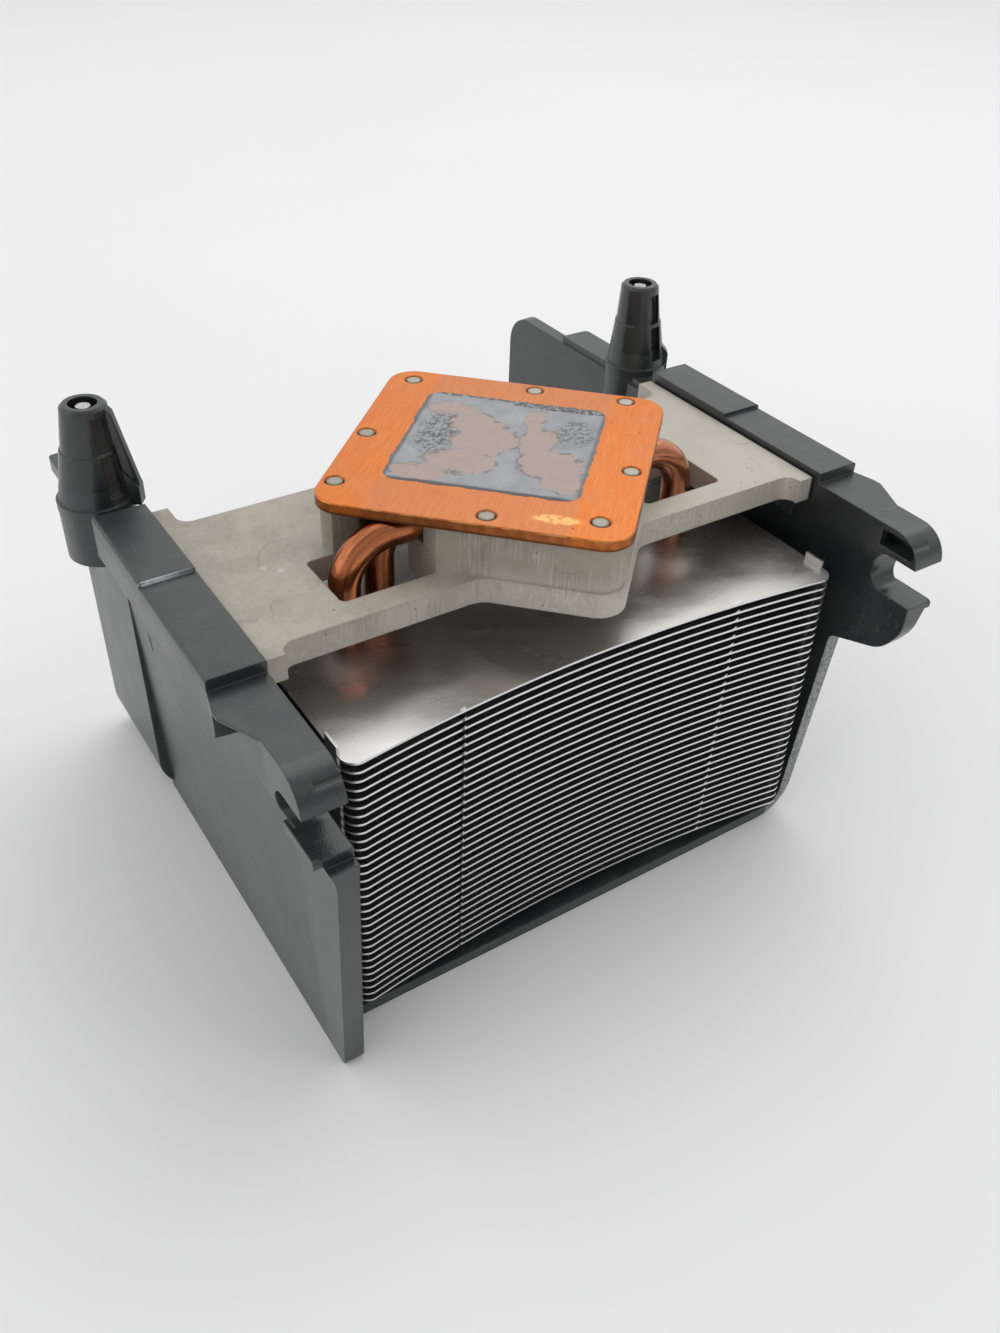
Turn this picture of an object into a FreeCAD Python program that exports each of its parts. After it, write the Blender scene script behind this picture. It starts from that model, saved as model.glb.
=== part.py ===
"""Hinge-mounted processor heatsink, lying with its copper contact plate up.

A plastic shroud (floor, two walls, hooks in front, two screw posts behind) carries a die-cast
bracket. The copper plate is staked to the bracket's turned pedestal, two U-shaped heat pipes run
under it, and their four legs carry a stack of thin aluminium fins.
Millimetres, +X to the right along the fin fronts, +Y to the rear, +Z up, origin under the middle.
"""
import FreeCAD
import Part
import math
import os

V = FreeCAD.Vector

# Fin stack
FIN_WIDTH = 92.4
FIN_DEPTH = 58.4
FIN_COUNT = 32
FIN_PITCH = 1.684
FIN_THICK = 0.4
FIN_CORNER = 2.4
FIN_BOW = 3.3               # how far the middle of the front edge lies behind its ends
FIN_TAB_LENGTH = 3.8        # spacer tabs folded up at the sides
FIN_TAB_BEHIND = 0.6        # tabs behind the rounded front corners
FIN_LOCK_X = 26.4           # lanced interlock ramps on the front edge, either side of the middle
FIN_LOCK_WIDTH = 0.9
FIN_LOCK_RISE = 0.35        # ramp's high end above its fin

# Heat pipes
PIPE_D = 5.0
PIPE_BEND = 8.0             # radius of the bend at the pipe's centre line
PIPE_GAP = 0.2              # between the two pipes under the contact plate
PIPE_FIT = 0.05             # clearance in the fins and under the contact plate
PIPE_PAIR_BEHIND = 0.5      # pipe pair behind the middle of the fins
OUTER_LEG_X = 32.3
INNER_LEG_X = 23.7
PIPE_END_BELOW = 1.0        # pipe ends below the lowest fin
PIPE_END_CHAMFER = 0.8

# Copper contact plate, turned on the bracket as the processor socket is
PLATE_SIZE = 48.5
PLATE_THICK = 1.8
PLATE_CORNER = 4.6
PLATE_TURN = 45.0
PLATE_EDGE_ROUND = 0.3
PLATE_BEHIND = 5.2          # plate centre behind the middle of the fins
STUD_D = 2.5
STUD_FIT = 0.08
STUD_SINK = 0.12            # stud tops lie this far below the contact face
STUD_DISH = 0.35            # chamfer round each stud hole
STUDS = (                   # along each of the plate's sides: in from its low (-1) or high (1) edge,
    ((-1, 4.25), (1, 3.75)),    # or on from its middle (0)
    ((0, 1.5), (1, 2.25)),
    ((1, 6.75), (1, 2.25)),
    ((-1, 2.25), (0, -1.0)),
    ((1, 2.75), (0, -2.5)),
    ((-1, 2.25), (-1, 6.75)),
    ((0, 2.5), (-1, 2.75)),
    ((1, 5.25), (-1, 5.25)),
)

# Die-cast bracket
BRACKET_OVER_FINS = 4.7     # bracket end beyond the fins at each side
BRACKET_DEPTH = 36.5
BRACKET_THICK = 4.3
BRACKET_ABOVE_FINS = 7.0
BRACKET_AHEAD = 0.5         # bracket middle ahead of the plate centre
EAR_WIDTH = 2.9
EAR_FRONT = 2.5
EAR_REAR = 5.6
EAR_FILLET = 2.2
PEDESTAL_RISE = 7.5         # from the bracket's top to the contact plate
PEDESTAL_INSET = 0.6        # pedestal inside the plate's edge
PEDESTAL_CORNER = 4.2
PEDESTAL_STEP = 0.4         # its foot, level with the beams, stands proud by this
PEDESTAL_BLEND = 4.0        # fillet where a beam runs into the pedestal
WINDOW_IN = 20.0
WINDOW_OUT = 36.0
WINDOW_FRONT = 6.9          # window edges ahead of and behind the outer pipe
WINDOW_REAR = 5.3
WINDOW_CORNER = 1.0
PIPE_ROOM = 0.5             # air round a pipe that passes through the casting

# Plastic shroud
FLOOR_THICK = 2.2
FLOOR_TO_FIN = 2.2
FLOOR_BEHIND_FINS = 1.4     # floor's front edge behind the fins' front corners
FINS_TO_LEFT_WALL = 2.8
FINS_TO_RIGHT_WALL = 0.6
LEFT_WALL_THICK = 3.4
RIGHT_WALL_THICK = 2.2
LEFT_FOOT_ROUND = 2.0
RIGHT_FOOT_ROUND = 7.5
RIGHT_FOOT_INSIDE = 3.5
KNEE_BELOW_ARM = 16.5       # where the walls start to flare to the hooks
KNEE_OUT = 3.2              # wall thickness there
KNEE_ROUND = 12.0
LUG_OUT = 6.4               # lug and arm width beyond the flange's inner edge
FLANGE_WIDTH = 8.6
FLANGE_GAP = 0.5            # between the bracket's ends and the flanges
FLANGE_RISE_MID = 1.1       # flange tops above the bracket's top
FLANGE_RISE_REAR = 1.7
FLANGE_ROOT = 6.7           # flange's root at the wall, below the arms' tops
FLANGE_HAUNCH = 4.9         # and where it leaves the wall's outer face
FLANGE_LIP = 4.5            # lower edge of its outer face
FLANGE_EDGE_ROUND = 0.6
ARM_DROP = 0.8              # hook arms below the bracket's top
FLANGE_STEP = 24.9          # length of the middle flange segment
FLANGE_AHEAD = 1.2          # big step ahead of the bracket's front ears
HOOK_REACH = 13.6           # hooks in front of the fins' front corners
ARM_TIP = 2.4               # arm tips behind the foremost edge
ARM_ROUND = 5.4
SHOULDER_AHEAD = 3.95       # flange's front end ahead of the big step
SHOULDER_FLARE = 0.9        # its front corner outside the flange's edge
BRIM_AHEAD = 1.5            # brim's corner ahead of the flange's front end
BRIM_RUN = 6.6              # its slanting edge, from there to the arm
BRIM_THICK = 0.5
SLOT_HEIGHT = 7.1
SLOT_DEPTH = 8.9            # from the jaw's tip to the closed end
SLOT_BELOW_ARM = 5.0        # slot's upper face below the arm's top
SLOT_ROUND = 2.6
ARM_SKIN = 1.0              # skin round the cored inner side of an arm
ARM_CORE = 3.8              # how far the coring reaches outward
JAW_TIP = 1.6               # jaw tips behind the foremost edge
JAW_THICK = 1.8
JAW_INSET = 0.7             # jaws narrower than the arms
JAW_ROUND = 0.8
LUG_ROOT = 25.4             # right lug's lower edge below the arm's top, at the wall
LUG_TOE = 21.8              # and at its lowest front corner
LUG_TOE_BACK = 4.4
LUG_CHIN = 17.2
LUG_ROUND = 6.0
FLARE_RISE = 8.0            # height of the flare from the wall to the arm's width
FLARE_ROUND = 8.0
WING_SLOPE_TO = 7.9         # the left wall's front edge leans back this far at the floor
FRONT_EDGE_ROUND = 1.5
LEDGE_WIDTH = 3.4           # ledges under the bracket's ends
LEDGE_THICK = 2.2
LEDGE_SHORT = 1.0           # ledge ends inside the bracket's edges
REAR_WALL_DROP = 3.6        # rear walls below the bracket's top
REAR_WALL_ROUND = 6.5
REAR_DUCT_LEFT = 24.8       # walls behind the posts
REAR_DUCT_RIGHT = 39.8
REAR_WALL_THICK = 3.0       # upright rear panels
REAR_FOOT_ROUND = 8.0
TAIL_LENGTH = 19.8          # flange behind the posts
TAIL_WIDTH = 6.4
TAIL_INSET = 0.6            # its inner edge outside the flange's
TAIL_RISE = 1.3             # its top above the rear walls
TAIL_THICK = 2.5
TAIL_ROUND = 1.0

# Screw posts and captive screws
POST_X_OUT = 3.9            # post axis outside the flange's inner edge
POST_BEHIND_EAR = 11.4
POST_RISE = 15.2            # post tip above the bracket's top
POST_TIP_R = 3.7
POST_WAIST_R = 4.6
POST_BASE_R = 5.8
POST_COLLAR_R = 6.2
POST_COLLAR_LOW = 2.4       # collar's lower and upper edges below the bracket's top
POST_COLLAR_TOP = 0.8
POST_LEAN = 0.8             # foot of a post outside its bore's axis
POST_DECK = 11.2            # flange's rear segment ends this far ahead of the post's axis
POST_SEAM = 7.5             # seam below the tip
POST_SEAM_STEP = 0.2
POST_TIP_ROUND = 0.5
POST_GROOVE = 2.6           # width of the grooves up a post
POST_GROOVE_DEEP = 1.3
POST_GROOVE_START = 0.6     # above the bracket's top
POST_GROOVE_END = 1.6       # below the tip
POST_GROOVE_WEB = 0.6       # web left at the seam
POST_GROOVE_ANGLES = (-73.0, -27.0)
POST_FOOT_ANGLE = -35.0     # gusset at a post's foot
POST_FOOT_R = 7.0
POST_FOOT_WIDTH = 2.4
POST_FOOT_RISE = 2.6
BOSS_R = 6.1
HEAD_ROOM = 0.8             # round the screw head in its chamber
BOSS_LENGTH = 11.1          # boss below the bracket's top
NECK_LENGTH = 2.0
NECK_SHOULDER = 7.0         # head chamber, from the boss's open end
SCREW_D = 3.5
SCREW_NECK_D = 2.9
SCREW_FIT = 0.1             # radial room of the neck round the screw's waist
BORE_ROOM = 0.55            # radial room round the screw's thread
SCREW_HEAD_D = 7.2
SCREW_HEAD = 2.6
SCREW_HEAD_CHAMFER = 0.5
SCREW_TRAVEL = 4.0
SCREW_REST_GAP = 0.1        # thread above the neck at rest
SCREW_TIP_SINK = 0.5        # screw tip below the post's tip
SCREW_POINT = 1.6
SCREW_POINT_IN = 0.6        # point narrower than the thread, per side
DRIVE_SLOT = 1.0            # cross recess in the head
DRIVE_DEEP = 1.4
DRIVE_LENGTH = 4.4

# Heights
FIN_BASE_Z = FLOOR_THICK + FLOOR_TO_FIN
FIN_TOP_Z = FIN_BASE_Z + (FIN_COUNT - 1) * FIN_PITCH + FIN_THICK
BRACKET_Z = FIN_TOP_Z + BRACKET_ABOVE_FINS
BRACKET_TOP = BRACKET_Z + BRACKET_THICK
PLATE_Z = BRACKET_TOP + PEDESTAL_RISE
PLATE_TOP = PLATE_Z + PLATE_THICK
PIPE_Z = PLATE_Z - PIPE_FIT - PIPE_D / 2
ARM_TOP = BRACKET_TOP - ARM_DROP
KNEE_Z = ARM_TOP - KNEE_BELOW_ARM
SLOT_TOP = ARM_TOP - SLOT_BELOW_ARM
SLOT_BOTTOM = SLOT_TOP - SLOT_HEIGHT
POST_TOP = BRACKET_TOP + POST_RISE

# Widths, from the middle plane
FIN_HALF = FIN_WIDTH / 2
BRACKET_HALF = FIN_HALF + BRACKET_OVER_FINS
FLANGE_IN = BRACKET_HALF + FLANGE_GAP
FLANGE_OUT = FLANGE_IN + FLANGE_WIDTH
ARM_OUT = FLANGE_IN + LUG_OUT
LEFT_FOOT = FIN_HALF + FINS_TO_LEFT_WALL + LEFT_WALL_THICK
RIGHT_FOOT = FIN_HALF + FINS_TO_RIGHT_WALL + RIGHT_WALL_THICK
POST_X = FLANGE_IN + POST_X_OUT

# Depths, from the foremost edge and then from the middle
FIN_MID_DEPTH = HOOK_REACH + FIN_DEPTH / 2
PLATE_DEPTH = FIN_MID_DEPTH + PLATE_BEHIND
BRACKET_FRONT_DEPTH = PLATE_DEPTH - BRACKET_AHEAD - BRACKET_DEPTH / 2
BRACKET_REAR_DEPTH = BRACKET_FRONT_DEPTH + BRACKET_DEPTH
POST_DEPTH = BRACKET_REAR_DEPTH + EAR_REAR + POST_BEHIND_EAR
OVERALL_DEPTH = POST_DEPTH + REAR_DUCT_RIGHT


def from_front(depth):
    """Y of a place that lies this far behind the foremost edge."""
    return depth - OVERALL_DEPTH / 2


FRONT = from_front(0)
REAR = from_front(OVERALL_DEPTH)
FIN_FRONT = from_front(HOOK_REACH)
FIN_REAR = FIN_FRONT + FIN_DEPTH
FLOOR_FRONT = FIN_FRONT + FLOOR_BEHIND_FINS
PLATE_Y = from_front(PLATE_DEPTH)
BRACKET_FRONT = from_front(BRACKET_FRONT_DEPTH)
BRACKET_REAR = from_front(BRACKET_REAR_DEPTH)
PIPE_PAIR_Y = from_front(FIN_MID_DEPTH) + PIPE_PAIR_BEHIND
OUTER_PIPE_Y = PIPE_PAIR_Y - (PIPE_D + PIPE_GAP) / 2
INNER_PIPE_Y = PIPE_PAIR_Y + (PIPE_D + PIPE_GAP) / 2
BIG_STEP = BRACKET_FRONT - EAR_FRONT - FLANGE_AHEAD
SMALL_STEP = BIG_STEP + FLANGE_STEP
POST_Y = from_front(POST_DEPTH)
TAIL_END = POST_Y + TAIL_LENGTH
FLANGE_END = POST_Y - POST_DECK
LEFT_REAR = POST_Y + REAR_DUCT_LEFT
REAR_OUT = FLANGE_IN + KNEE_OUT
REAR_TOP = BRACKET_TOP - REAR_WALL_DROP
SLOT_END = FRONT + JAW_TIP + SLOT_DEPTH
LEGS = [
    (side * x, y)
    for x, y in ((OUTER_LEG_X, OUTER_PIPE_Y), (INNER_LEG_X, INNER_PIPE_Y))
    for side in (-1, 1)
]


def outline(corners, place):
    """Closed wire through corners (a, b) or (a, b, radius), with a tangent arc at each rounded one."""
    marks = []
    for index, corner in enumerate(corners):
        here = V(corner[0], corner[1], 0)
        radius = corner[2] if len(corner) == 3 else 0
        back = V(*corners[index - 1][:2], 0) - here
        ahead = V(*corners[(index + 1) % len(corners)][:2], 0) - here
        if not radius:
            marks.append((here, None, here))
            continue
        back.normalize()
        ahead.normalize()
        half = back.getAngle(ahead) / 2
        reach = radius / math.tan(half)
        inward = back + ahead
        inward.normalize()
        middle = here + inward * (radius / math.sin(half) - radius)
        marks.append((here + back * reach, middle, here + ahead * reach))
    edges = []
    for index, (start, middle, end) in enumerate(marks):
        if middle:
            edges.append(Part.Arc(place(start), place(middle), place(end)).toShape())
        following = marks[(index + 1) % len(marks)][0]
        if end.distanceToPoint(following) > 1e-6:
            edges.append(Part.makeLine(place(end), place(following)))
    return Part.Wire(edges)


def slab(corners, low, high):
    """Plan outline (x, y) raised from one height to another."""
    face = Part.Face(outline(corners, lambda p: V(p.x, p.y, low)))
    return face.extrude(V(0, 0, high - low))


def rail(corners, start, end):
    """Cross-section (x, z) drawn from one Y to another."""
    face = Part.Face(outline(corners, lambda p: V(p.x, start, p.y)))
    return face.extrude(V(0, end - start, 0))


def cheek(corners, left, right):
    """Side outline (y, z) drawn from one X to another."""
    face = Part.Face(outline(corners, lambda p: V(left, p.x, p.y)))
    return face.extrude(V(right - left, 0, 0))


def box(low, high):
    """Block between two opposite corners."""
    size = [b - a for a, b in zip(low, high)]
    return Part.makeBox(*size, V(*low))


def turned(profile, x, y):
    """Solid of revolution about a vertical axis, from (radius, z) points."""
    points = [V(r, 0, z) for r, z in profile]
    face = Part.Face(Part.makePolygon(points + points[:1]))
    solid = face.revolve(V(0, 0, 0), V(0, 0, 1), 360)
    solid.translate(V(x, y, 0))
    return solid


def mirrored(shape):
    """The same shape on the other side of the middle plane."""
    return shape.mirror(V(0, 0, 0), V(1, 0, 0))


def turned_square(size, corner, low, high):
    """Rounded square block, turned about the contact plate's centre."""
    half = size / 2
    corners = [(a * half, b * half, corner) for a, b in ((-1, -1), (1, -1), (1, 1), (-1, 1))]
    block = slab(corners, low, high)
    block.rotate(V(0, 0, 0), V(0, 0, 1), -PLATE_TURN)
    block.translate(V(0, PLATE_Y, 0))
    return block


def along_plate(edge, distance):
    """Place along a side of the contact plate, from its centre: in from an edge, or on from the middle."""
    return edge * (PLATE_SIZE / 2 - distance) if edge else distance


def stud_places():
    """Centres of the eight studs that hold the contact plate."""
    turn = FreeCAD.Rotation(V(0, 0, 1), -PLATE_TURN)
    places = [V(along_plate(*across), along_plate(*up), 0) for across, up in STUDS]
    return [turn.multVec(place) + V(0, PLATE_Y, 0) for place in places]


def fin():
    """One fin with its spacer tabs, at the height of the lowest one."""
    low, high = FIN_BASE_Z, FIN_BASE_Z + FIN_THICK
    plate = slab([
        (-FIN_HALF, FIN_FRONT, FIN_CORNER), (FIN_HALF, FIN_FRONT, FIN_CORNER),
        (FIN_HALF, FIN_REAR, FIN_CORNER), (-FIN_HALF, FIN_REAR, FIN_CORNER),
    ], low, high)
    chord = FIN_HALF - FIN_CORNER
    bow_radius = (chord ** 2 + FIN_BOW ** 2) / (2 * FIN_BOW)
    bow = Part.makeCylinder(bow_radius, FIN_THICK, V(0, FIN_FRONT + FIN_BOW - bow_radius, low))
    plate = plate.cut(bow)
    for x, y in LEGS:
        plate = plate.cut(Part.makeCylinder(PIPE_D / 2 + PIPE_FIT, FIN_THICK, V(x, y, low)))
    tab_y = FIN_FRONT + FIN_CORNER + FIN_TAB_BEHIND
    tab = box((FIN_HALF - FIN_THICK, tab_y, low), (FIN_HALF, tab_y + FIN_TAB_LENGTH, low + FIN_PITCH))
    lock_inner = FIN_LOCK_X - FIN_LOCK_WIDTH / 2
    lock_y = FIN_FRONT + FIN_BOW - bow_radius + math.sqrt(bow_radius ** 2 - lock_inner ** 2)
    locks = [
        rail([
            (x, low), (x + FIN_LOCK_WIDTH, low), (x + FIN_LOCK_WIDTH, high + FIN_LOCK_RISE), (x, high),
        ], lock_y, lock_y + FIN_THICK)
        for x in (-FIN_LOCK_X - FIN_LOCK_WIDTH / 2, lock_inner)
    ]
    return plate.fuse([tab, mirrored(tab)] + locks).removeSplitter()


def heat_pipe(leg_x, y):
    """U-shaped pipe: run under the contact plate, two bends, two legs with chamfered ends."""
    end_z = FIN_BASE_Z - PIPE_END_BELOW
    knee = PIPE_Z - PIPE_BEND
    inner = leg_x - PIPE_BEND
    swing = PIPE_BEND * math.sqrt(0.5)
    left = Part.Arc(V(-leg_x, y, knee), V(-inner - swing, y, knee + swing), V(-inner, y, PIPE_Z))
    right = Part.Arc(V(inner, y, PIPE_Z), V(inner + swing, y, knee + swing), V(leg_x, y, knee))
    path = Part.Wire([
        Part.makeLine(V(-leg_x, y, end_z), V(-leg_x, y, knee)), left.toShape(),
        Part.makeLine(V(-inner, y, PIPE_Z), V(inner, y, PIPE_Z)), right.toShape(),
        Part.makeLine(V(leg_x, y, knee), V(leg_x, y, end_z)),
    ])
    ring = Part.Wire(Part.makeCircle(PIPE_D / 2, V(-leg_x, y, end_z), V(0, 0, 1)))
    pipe = path.makePipeShell([ring], True, False)
    rims = [
        edge for edge in pipe.Edges
        if edge.Closed and abs(edge.BoundBox.ZMax - end_z) < 1e-4
    ]
    return pipe.makeChamfer(PIPE_END_CHAMFER, rims)


def base_plate():
    """Copper contact plate with a dished hole round each stud."""
    plate = turned_square(PLATE_SIZE, PLATE_CORNER, PLATE_Z, PLATE_TOP)
    rim = [edge for edge in plate.Edges if abs(edge.BoundBox.ZMin - PLATE_TOP) < 1e-6]
    plate = plate.makeFillet(PLATE_EDGE_ROUND, rim)
    hole = STUD_D / 2 + STUD_FIT
    profile = [
        (0, PLATE_Z), (hole, PLATE_Z), (hole, PLATE_TOP - STUD_DISH),
        (hole + STUD_DISH, PLATE_TOP), (0, PLATE_TOP),
    ]
    for place in stud_places():
        plate = plate.cut(turned(profile, place.x, place.y))
    return plate


def bracket():
    """Die-cast bracket: beams and ears, the turned pedestal, pipe windows and peened studs."""
    ear = BRACKET_HALF - EAR_WIDTH
    front, rear = BRACKET_FRONT, BRACKET_REAR
    plate = slab([
        (-BRACKET_HALF, front - EAR_FRONT), (-ear, front - EAR_FRONT), (-ear, front, EAR_FILLET),
        (ear, front, EAR_FILLET), (ear, front - EAR_FRONT), (BRACKET_HALF, front - EAR_FRONT),
        (BRACKET_HALF, rear + EAR_REAR), (ear, rear + EAR_REAR), (ear, rear, EAR_FILLET),
        (-ear, rear, EAR_FILLET), (-ear, rear + EAR_REAR), (-BRACKET_HALF, rear + EAR_REAR),
    ], BRACKET_Z, BRACKET_TOP)
    size = PLATE_SIZE - 2 * PEDESTAL_INSET
    pedestal = turned_square(size, PEDESTAL_CORNER, BRACKET_Z, PLATE_Z)
    foot_corner = PEDESTAL_CORNER + PEDESTAL_STEP
    foot = turned_square(size + 2 * PEDESTAL_STEP, foot_corner, BRACKET_Z, BRACKET_TOP)
    body = plate.fuse([pedestal, foot]).removeSplitter()
    body = body.makeFillet(PEDESTAL_BLEND, beam_roots(body))
    body = body.cut(pipe_rooms())
    studs = [
        Part.makeCylinder(STUD_D / 2, PLATE_THICK - STUD_SINK, V(place.x, place.y, PLATE_Z))
        for place in stud_places()
    ]
    return body.fuse(studs).removeSplitter()


def beam_roots(body):
    """Upright inside edges where the bracket's front and rear edges run into the pedestal."""
    def is_root(edge):
        bounds = edge.BoundBox
        upright = bounds.XLength < 1e-6 and bounds.YLength < 1e-6
        on_edge = min(abs(bounds.YMin - BRACKET_FRONT), abs(bounds.YMin - BRACKET_REAR)) < 1e-4
        return upright and on_edge and abs(bounds.XMin) < WINDOW_OUT
    return [edge for edge in body.Edges if is_root(edge)]


def pipe_rooms():
    """What is open in the casting: windows, the pipes' channel and the inner pipe's bends."""
    reach = PIPE_D / 2 + PIPE_ROOM
    below, above = BRACKET_Z - 1, PLATE_Z + 1
    front = OUTER_PIPE_Y - WINDOW_FRONT
    rear = OUTER_PIPE_Y + WINDOW_REAR
    window = slab([
        (WINDOW_IN, front, WINDOW_CORNER), (WINDOW_OUT, front, WINDOW_CORNER),
        (WINDOW_OUT, rear, WINDOW_CORNER), (WINDOW_IN, rear, WINDOW_CORNER),
    ], below, above)
    bend_start = INNER_LEG_X - PIPE_BEND - PIPE_ROOM
    pocket = box(
        (bend_start, INNER_PIPE_Y - reach, below), (INNER_LEG_X + reach, INNER_PIPE_Y + reach, above)
    )
    channel_end = INNER_LEG_X + reach
    channel = box(
        (-channel_end, OUTER_PIPE_Y - PIPE_D / 2 - PIPE_FIT, PIPE_Z - PIPE_D / 2),
        (channel_end, INNER_PIPE_Y + PIPE_D / 2 + PIPE_FIT, above),
    )
    return [window, mirrored(window), pocket, mirrored(pocket), channel]


def wall_section(foot, foot_thick, low):
    """Right-hand wall's cross-section from a height up to the arms, leaning out to the lug."""
    knee = FLANGE_IN + KNEE_OUT
    lean = (knee - foot) / KNEE_Z
    lean_in = (FLANGE_IN - foot + foot_thick) / KNEE_Z
    return [
        (foot + lean * low, low), (knee, KNEE_Z, KNEE_ROUND),
        (ARM_OUT, KNEE_Z + FLARE_RISE, FLARE_ROUND), (ARM_OUT, ARM_TOP), (FLANGE_IN, ARM_TOP),
        (FLANGE_IN, KNEE_Z, KNEE_ROUND), (foot - foot_thick + lean_in * low, low),
    ]


def side_outline(front_corners):
    """Side view of a wall's front panel: given front edge, then the rounded arm tip and level top."""
    in_slot = SLOT_TOP - SLOT_HEIGHT / 2
    return front_corners + [
        (FRONT + JAW_TIP, in_slot), (FRONT + ARM_TIP, in_slot), (FRONT + ARM_TIP, ARM_TOP, ARM_ROUND),
        (FLANGE_END, ARM_TOP), (FLANGE_END, REAR_TOP), (POST_Y, REAR_TOP), (POST_Y, 0),
    ]


def lower_jaw():
    """Right-hand lower jaw, nearly as wide as the arm above it."""
    low = SLOT_BOTTOM - JAW_THICK
    return cheek([
        (FRONT + JAW_TIP, low, JAW_ROUND), (FRONT + JAW_TIP, SLOT_BOTTOM, JAW_ROUND),
        (SLOT_END, SLOT_BOTTOM), (SLOT_END, low),
    ], FLANGE_IN, ARM_OUT - JAW_INSET)


def hook_cuts():
    """What is open in a right-hand hook: the slot over the jaw and the pocket in the arm's inner side."""
    slot = cheek([
        (FRONT - 1, SLOT_BOTTOM), (SLOT_END, SLOT_BOTTOM, SLOT_ROUND),
        (SLOT_END, SLOT_TOP, SLOT_ROUND), (FRONT - 1, SLOT_TOP),
    ], 0, FLANGE_OUT + 1)
    low, high = SLOT_TOP + ARM_SKIN, ARM_TOP - ARM_SKIN
    nose = FRONT + ARM_TIP + ARM_SKIN
    core = cheek([
        (nose, low), (SLOT_END, low), (SLOT_END, high), (nose, high, min(ARM_ROUND, high - low) - ARM_SKIN),
    ], FLANGE_IN - 1, FLANGE_IN + ARM_CORE)
    return [slot, core]


def flange(start, end, top, out=FLANGE_OUT):
    """Right-hand flange block between two Y places."""
    return rail([
        (FLANGE_IN, ARM_TOP - FLANGE_ROOT), (ARM_OUT, ARM_TOP - FLANGE_HAUNCH),
        (out, ARM_TOP - FLANGE_LIP), (out, top, FLANGE_EDGE_ROUND), (FLANGE_IN, top),
    ], start, end)


def shoulder():
    """Right-hand front end of the flange, with a thin brim over it that slants in to the arm."""
    front = BIG_STEP - SHOULDER_AHEAD
    corner = front - BRIM_AHEAD
    toe = corner - BRIM_RUN
    out = FLANGE_OUT + SHOULDER_FLARE
    end = slab([(FLANGE_IN, front), (out, front), (FLANGE_OUT, BIG_STEP), (FLANGE_IN, BIG_STEP)], 0, ARM_TOP)
    block = flange(front, BIG_STEP, ARM_TOP, out + FLANGE_EDGE_ROUND).common(end)
    brim = slab([
        (FLANGE_IN, toe), (ARM_OUT, toe), (out, corner), (out, front), (FLANGE_IN, front),
    ], ARM_TOP - BRIM_THICK, ARM_TOP)
    return block.fuse(brim)


def tail():
    """Right-hand deck round the post's foot and behind it, lower than the flange."""
    top = REAR_TOP + TAIL_RISE
    inner = FLANGE_IN + TAIL_INSET
    outer = inner + TAIL_WIDTH
    return slab([
        (inner, FLANGE_END - 1), (outer, FLANGE_END - 1), (outer, TAIL_END, TAIL_ROUND), (inner, TAIL_END),
    ], top - TAIL_THICK, top)


def ledge():
    """Right-hand ledge that carries the bracket's end."""
    return rail([
        (BRACKET_HALF - LEDGE_WIDTH, BRACKET_Z), (FLANGE_IN + 0.5, BRACKET_Z),
        (FLANGE_IN + 0.5, BRACKET_Z - LEDGE_WIDTH - LEDGE_THICK),
        (BRACKET_HALF - LEDGE_WIDTH, BRACKET_Z - LEDGE_THICK),
    ], BRACKET_FRONT + LEDGE_SHORT, BRACKET_REAR - LEDGE_SHORT)


def tapered(low, high):
    """Round taper between two circles (radius, offset, z), the offset along X."""
    rings = [
        Part.Wire(Part.makeCircle(radius, V(offset, 0, z), V(0, 0, 1)))
        for radius, offset, z in (low, high)
    ]
    return Part.makeLoft(rings, True, True)


def post(side):
    """Screw post over its boss, solid, leaning in to its tip, grooved, with a gusset at its foot."""
    lean = side * POST_LEAN
    seam = POST_TOP - POST_SEAM
    waist_lean = lean * POST_SEAM / POST_RISE
    collar_low, collar_top = BRACKET_TOP - POST_COLLAR_LOW, BRACKET_TOP - POST_COLLAR_TOP
    boss_low = BRACKET_TOP - BOSS_LENGTH
    boss = Part.makeCylinder(BOSS_R, collar_low - boss_low, V(lean, 0, boss_low))
    collar = Part.makeCylinder(POST_COLLAR_R, collar_top - collar_low, V(lean, 0, collar_low))
    foot_cone = tapered((POST_BASE_R, lean, collar_top), (POST_WAIST_R, waist_lean, seam))
    tip_cone = tapered((POST_WAIST_R - POST_SEAM_STEP, waist_lean, seam),
                       (POST_TIP_R, 0, POST_TOP - POST_TIP_ROUND))
    crown = tapered((POST_TIP_R, 0, POST_TOP - POST_TIP_ROUND),
                    (POST_TIP_R - POST_TIP_ROUND, 0, POST_TOP))
    body = boss.fuse([collar, foot_cone, tip_cone, crown])
    body = body.cut(post_grooves(seam))
    foot = rail([
        (POST_TIP_R, BRACKET_TOP - 2), (POST_FOOT_R, BRACKET_TOP - 2),
        (POST_FOOT_R, BRACKET_TOP + POST_FOOT_RISE / 2, 0.8),
        (POST_TIP_R, BRACKET_TOP + POST_FOOT_RISE * 2),
    ], -POST_FOOT_WIDTH / 2, POST_FOOT_WIDTH / 2)
    foot.rotate(V(0, 0, 0), V(0, 0, 1), POST_FOOT_ANGLE)
    body = body.fuse(foot)
    body.translate(V(side * POST_X, POST_Y, 0))
    return body


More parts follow.
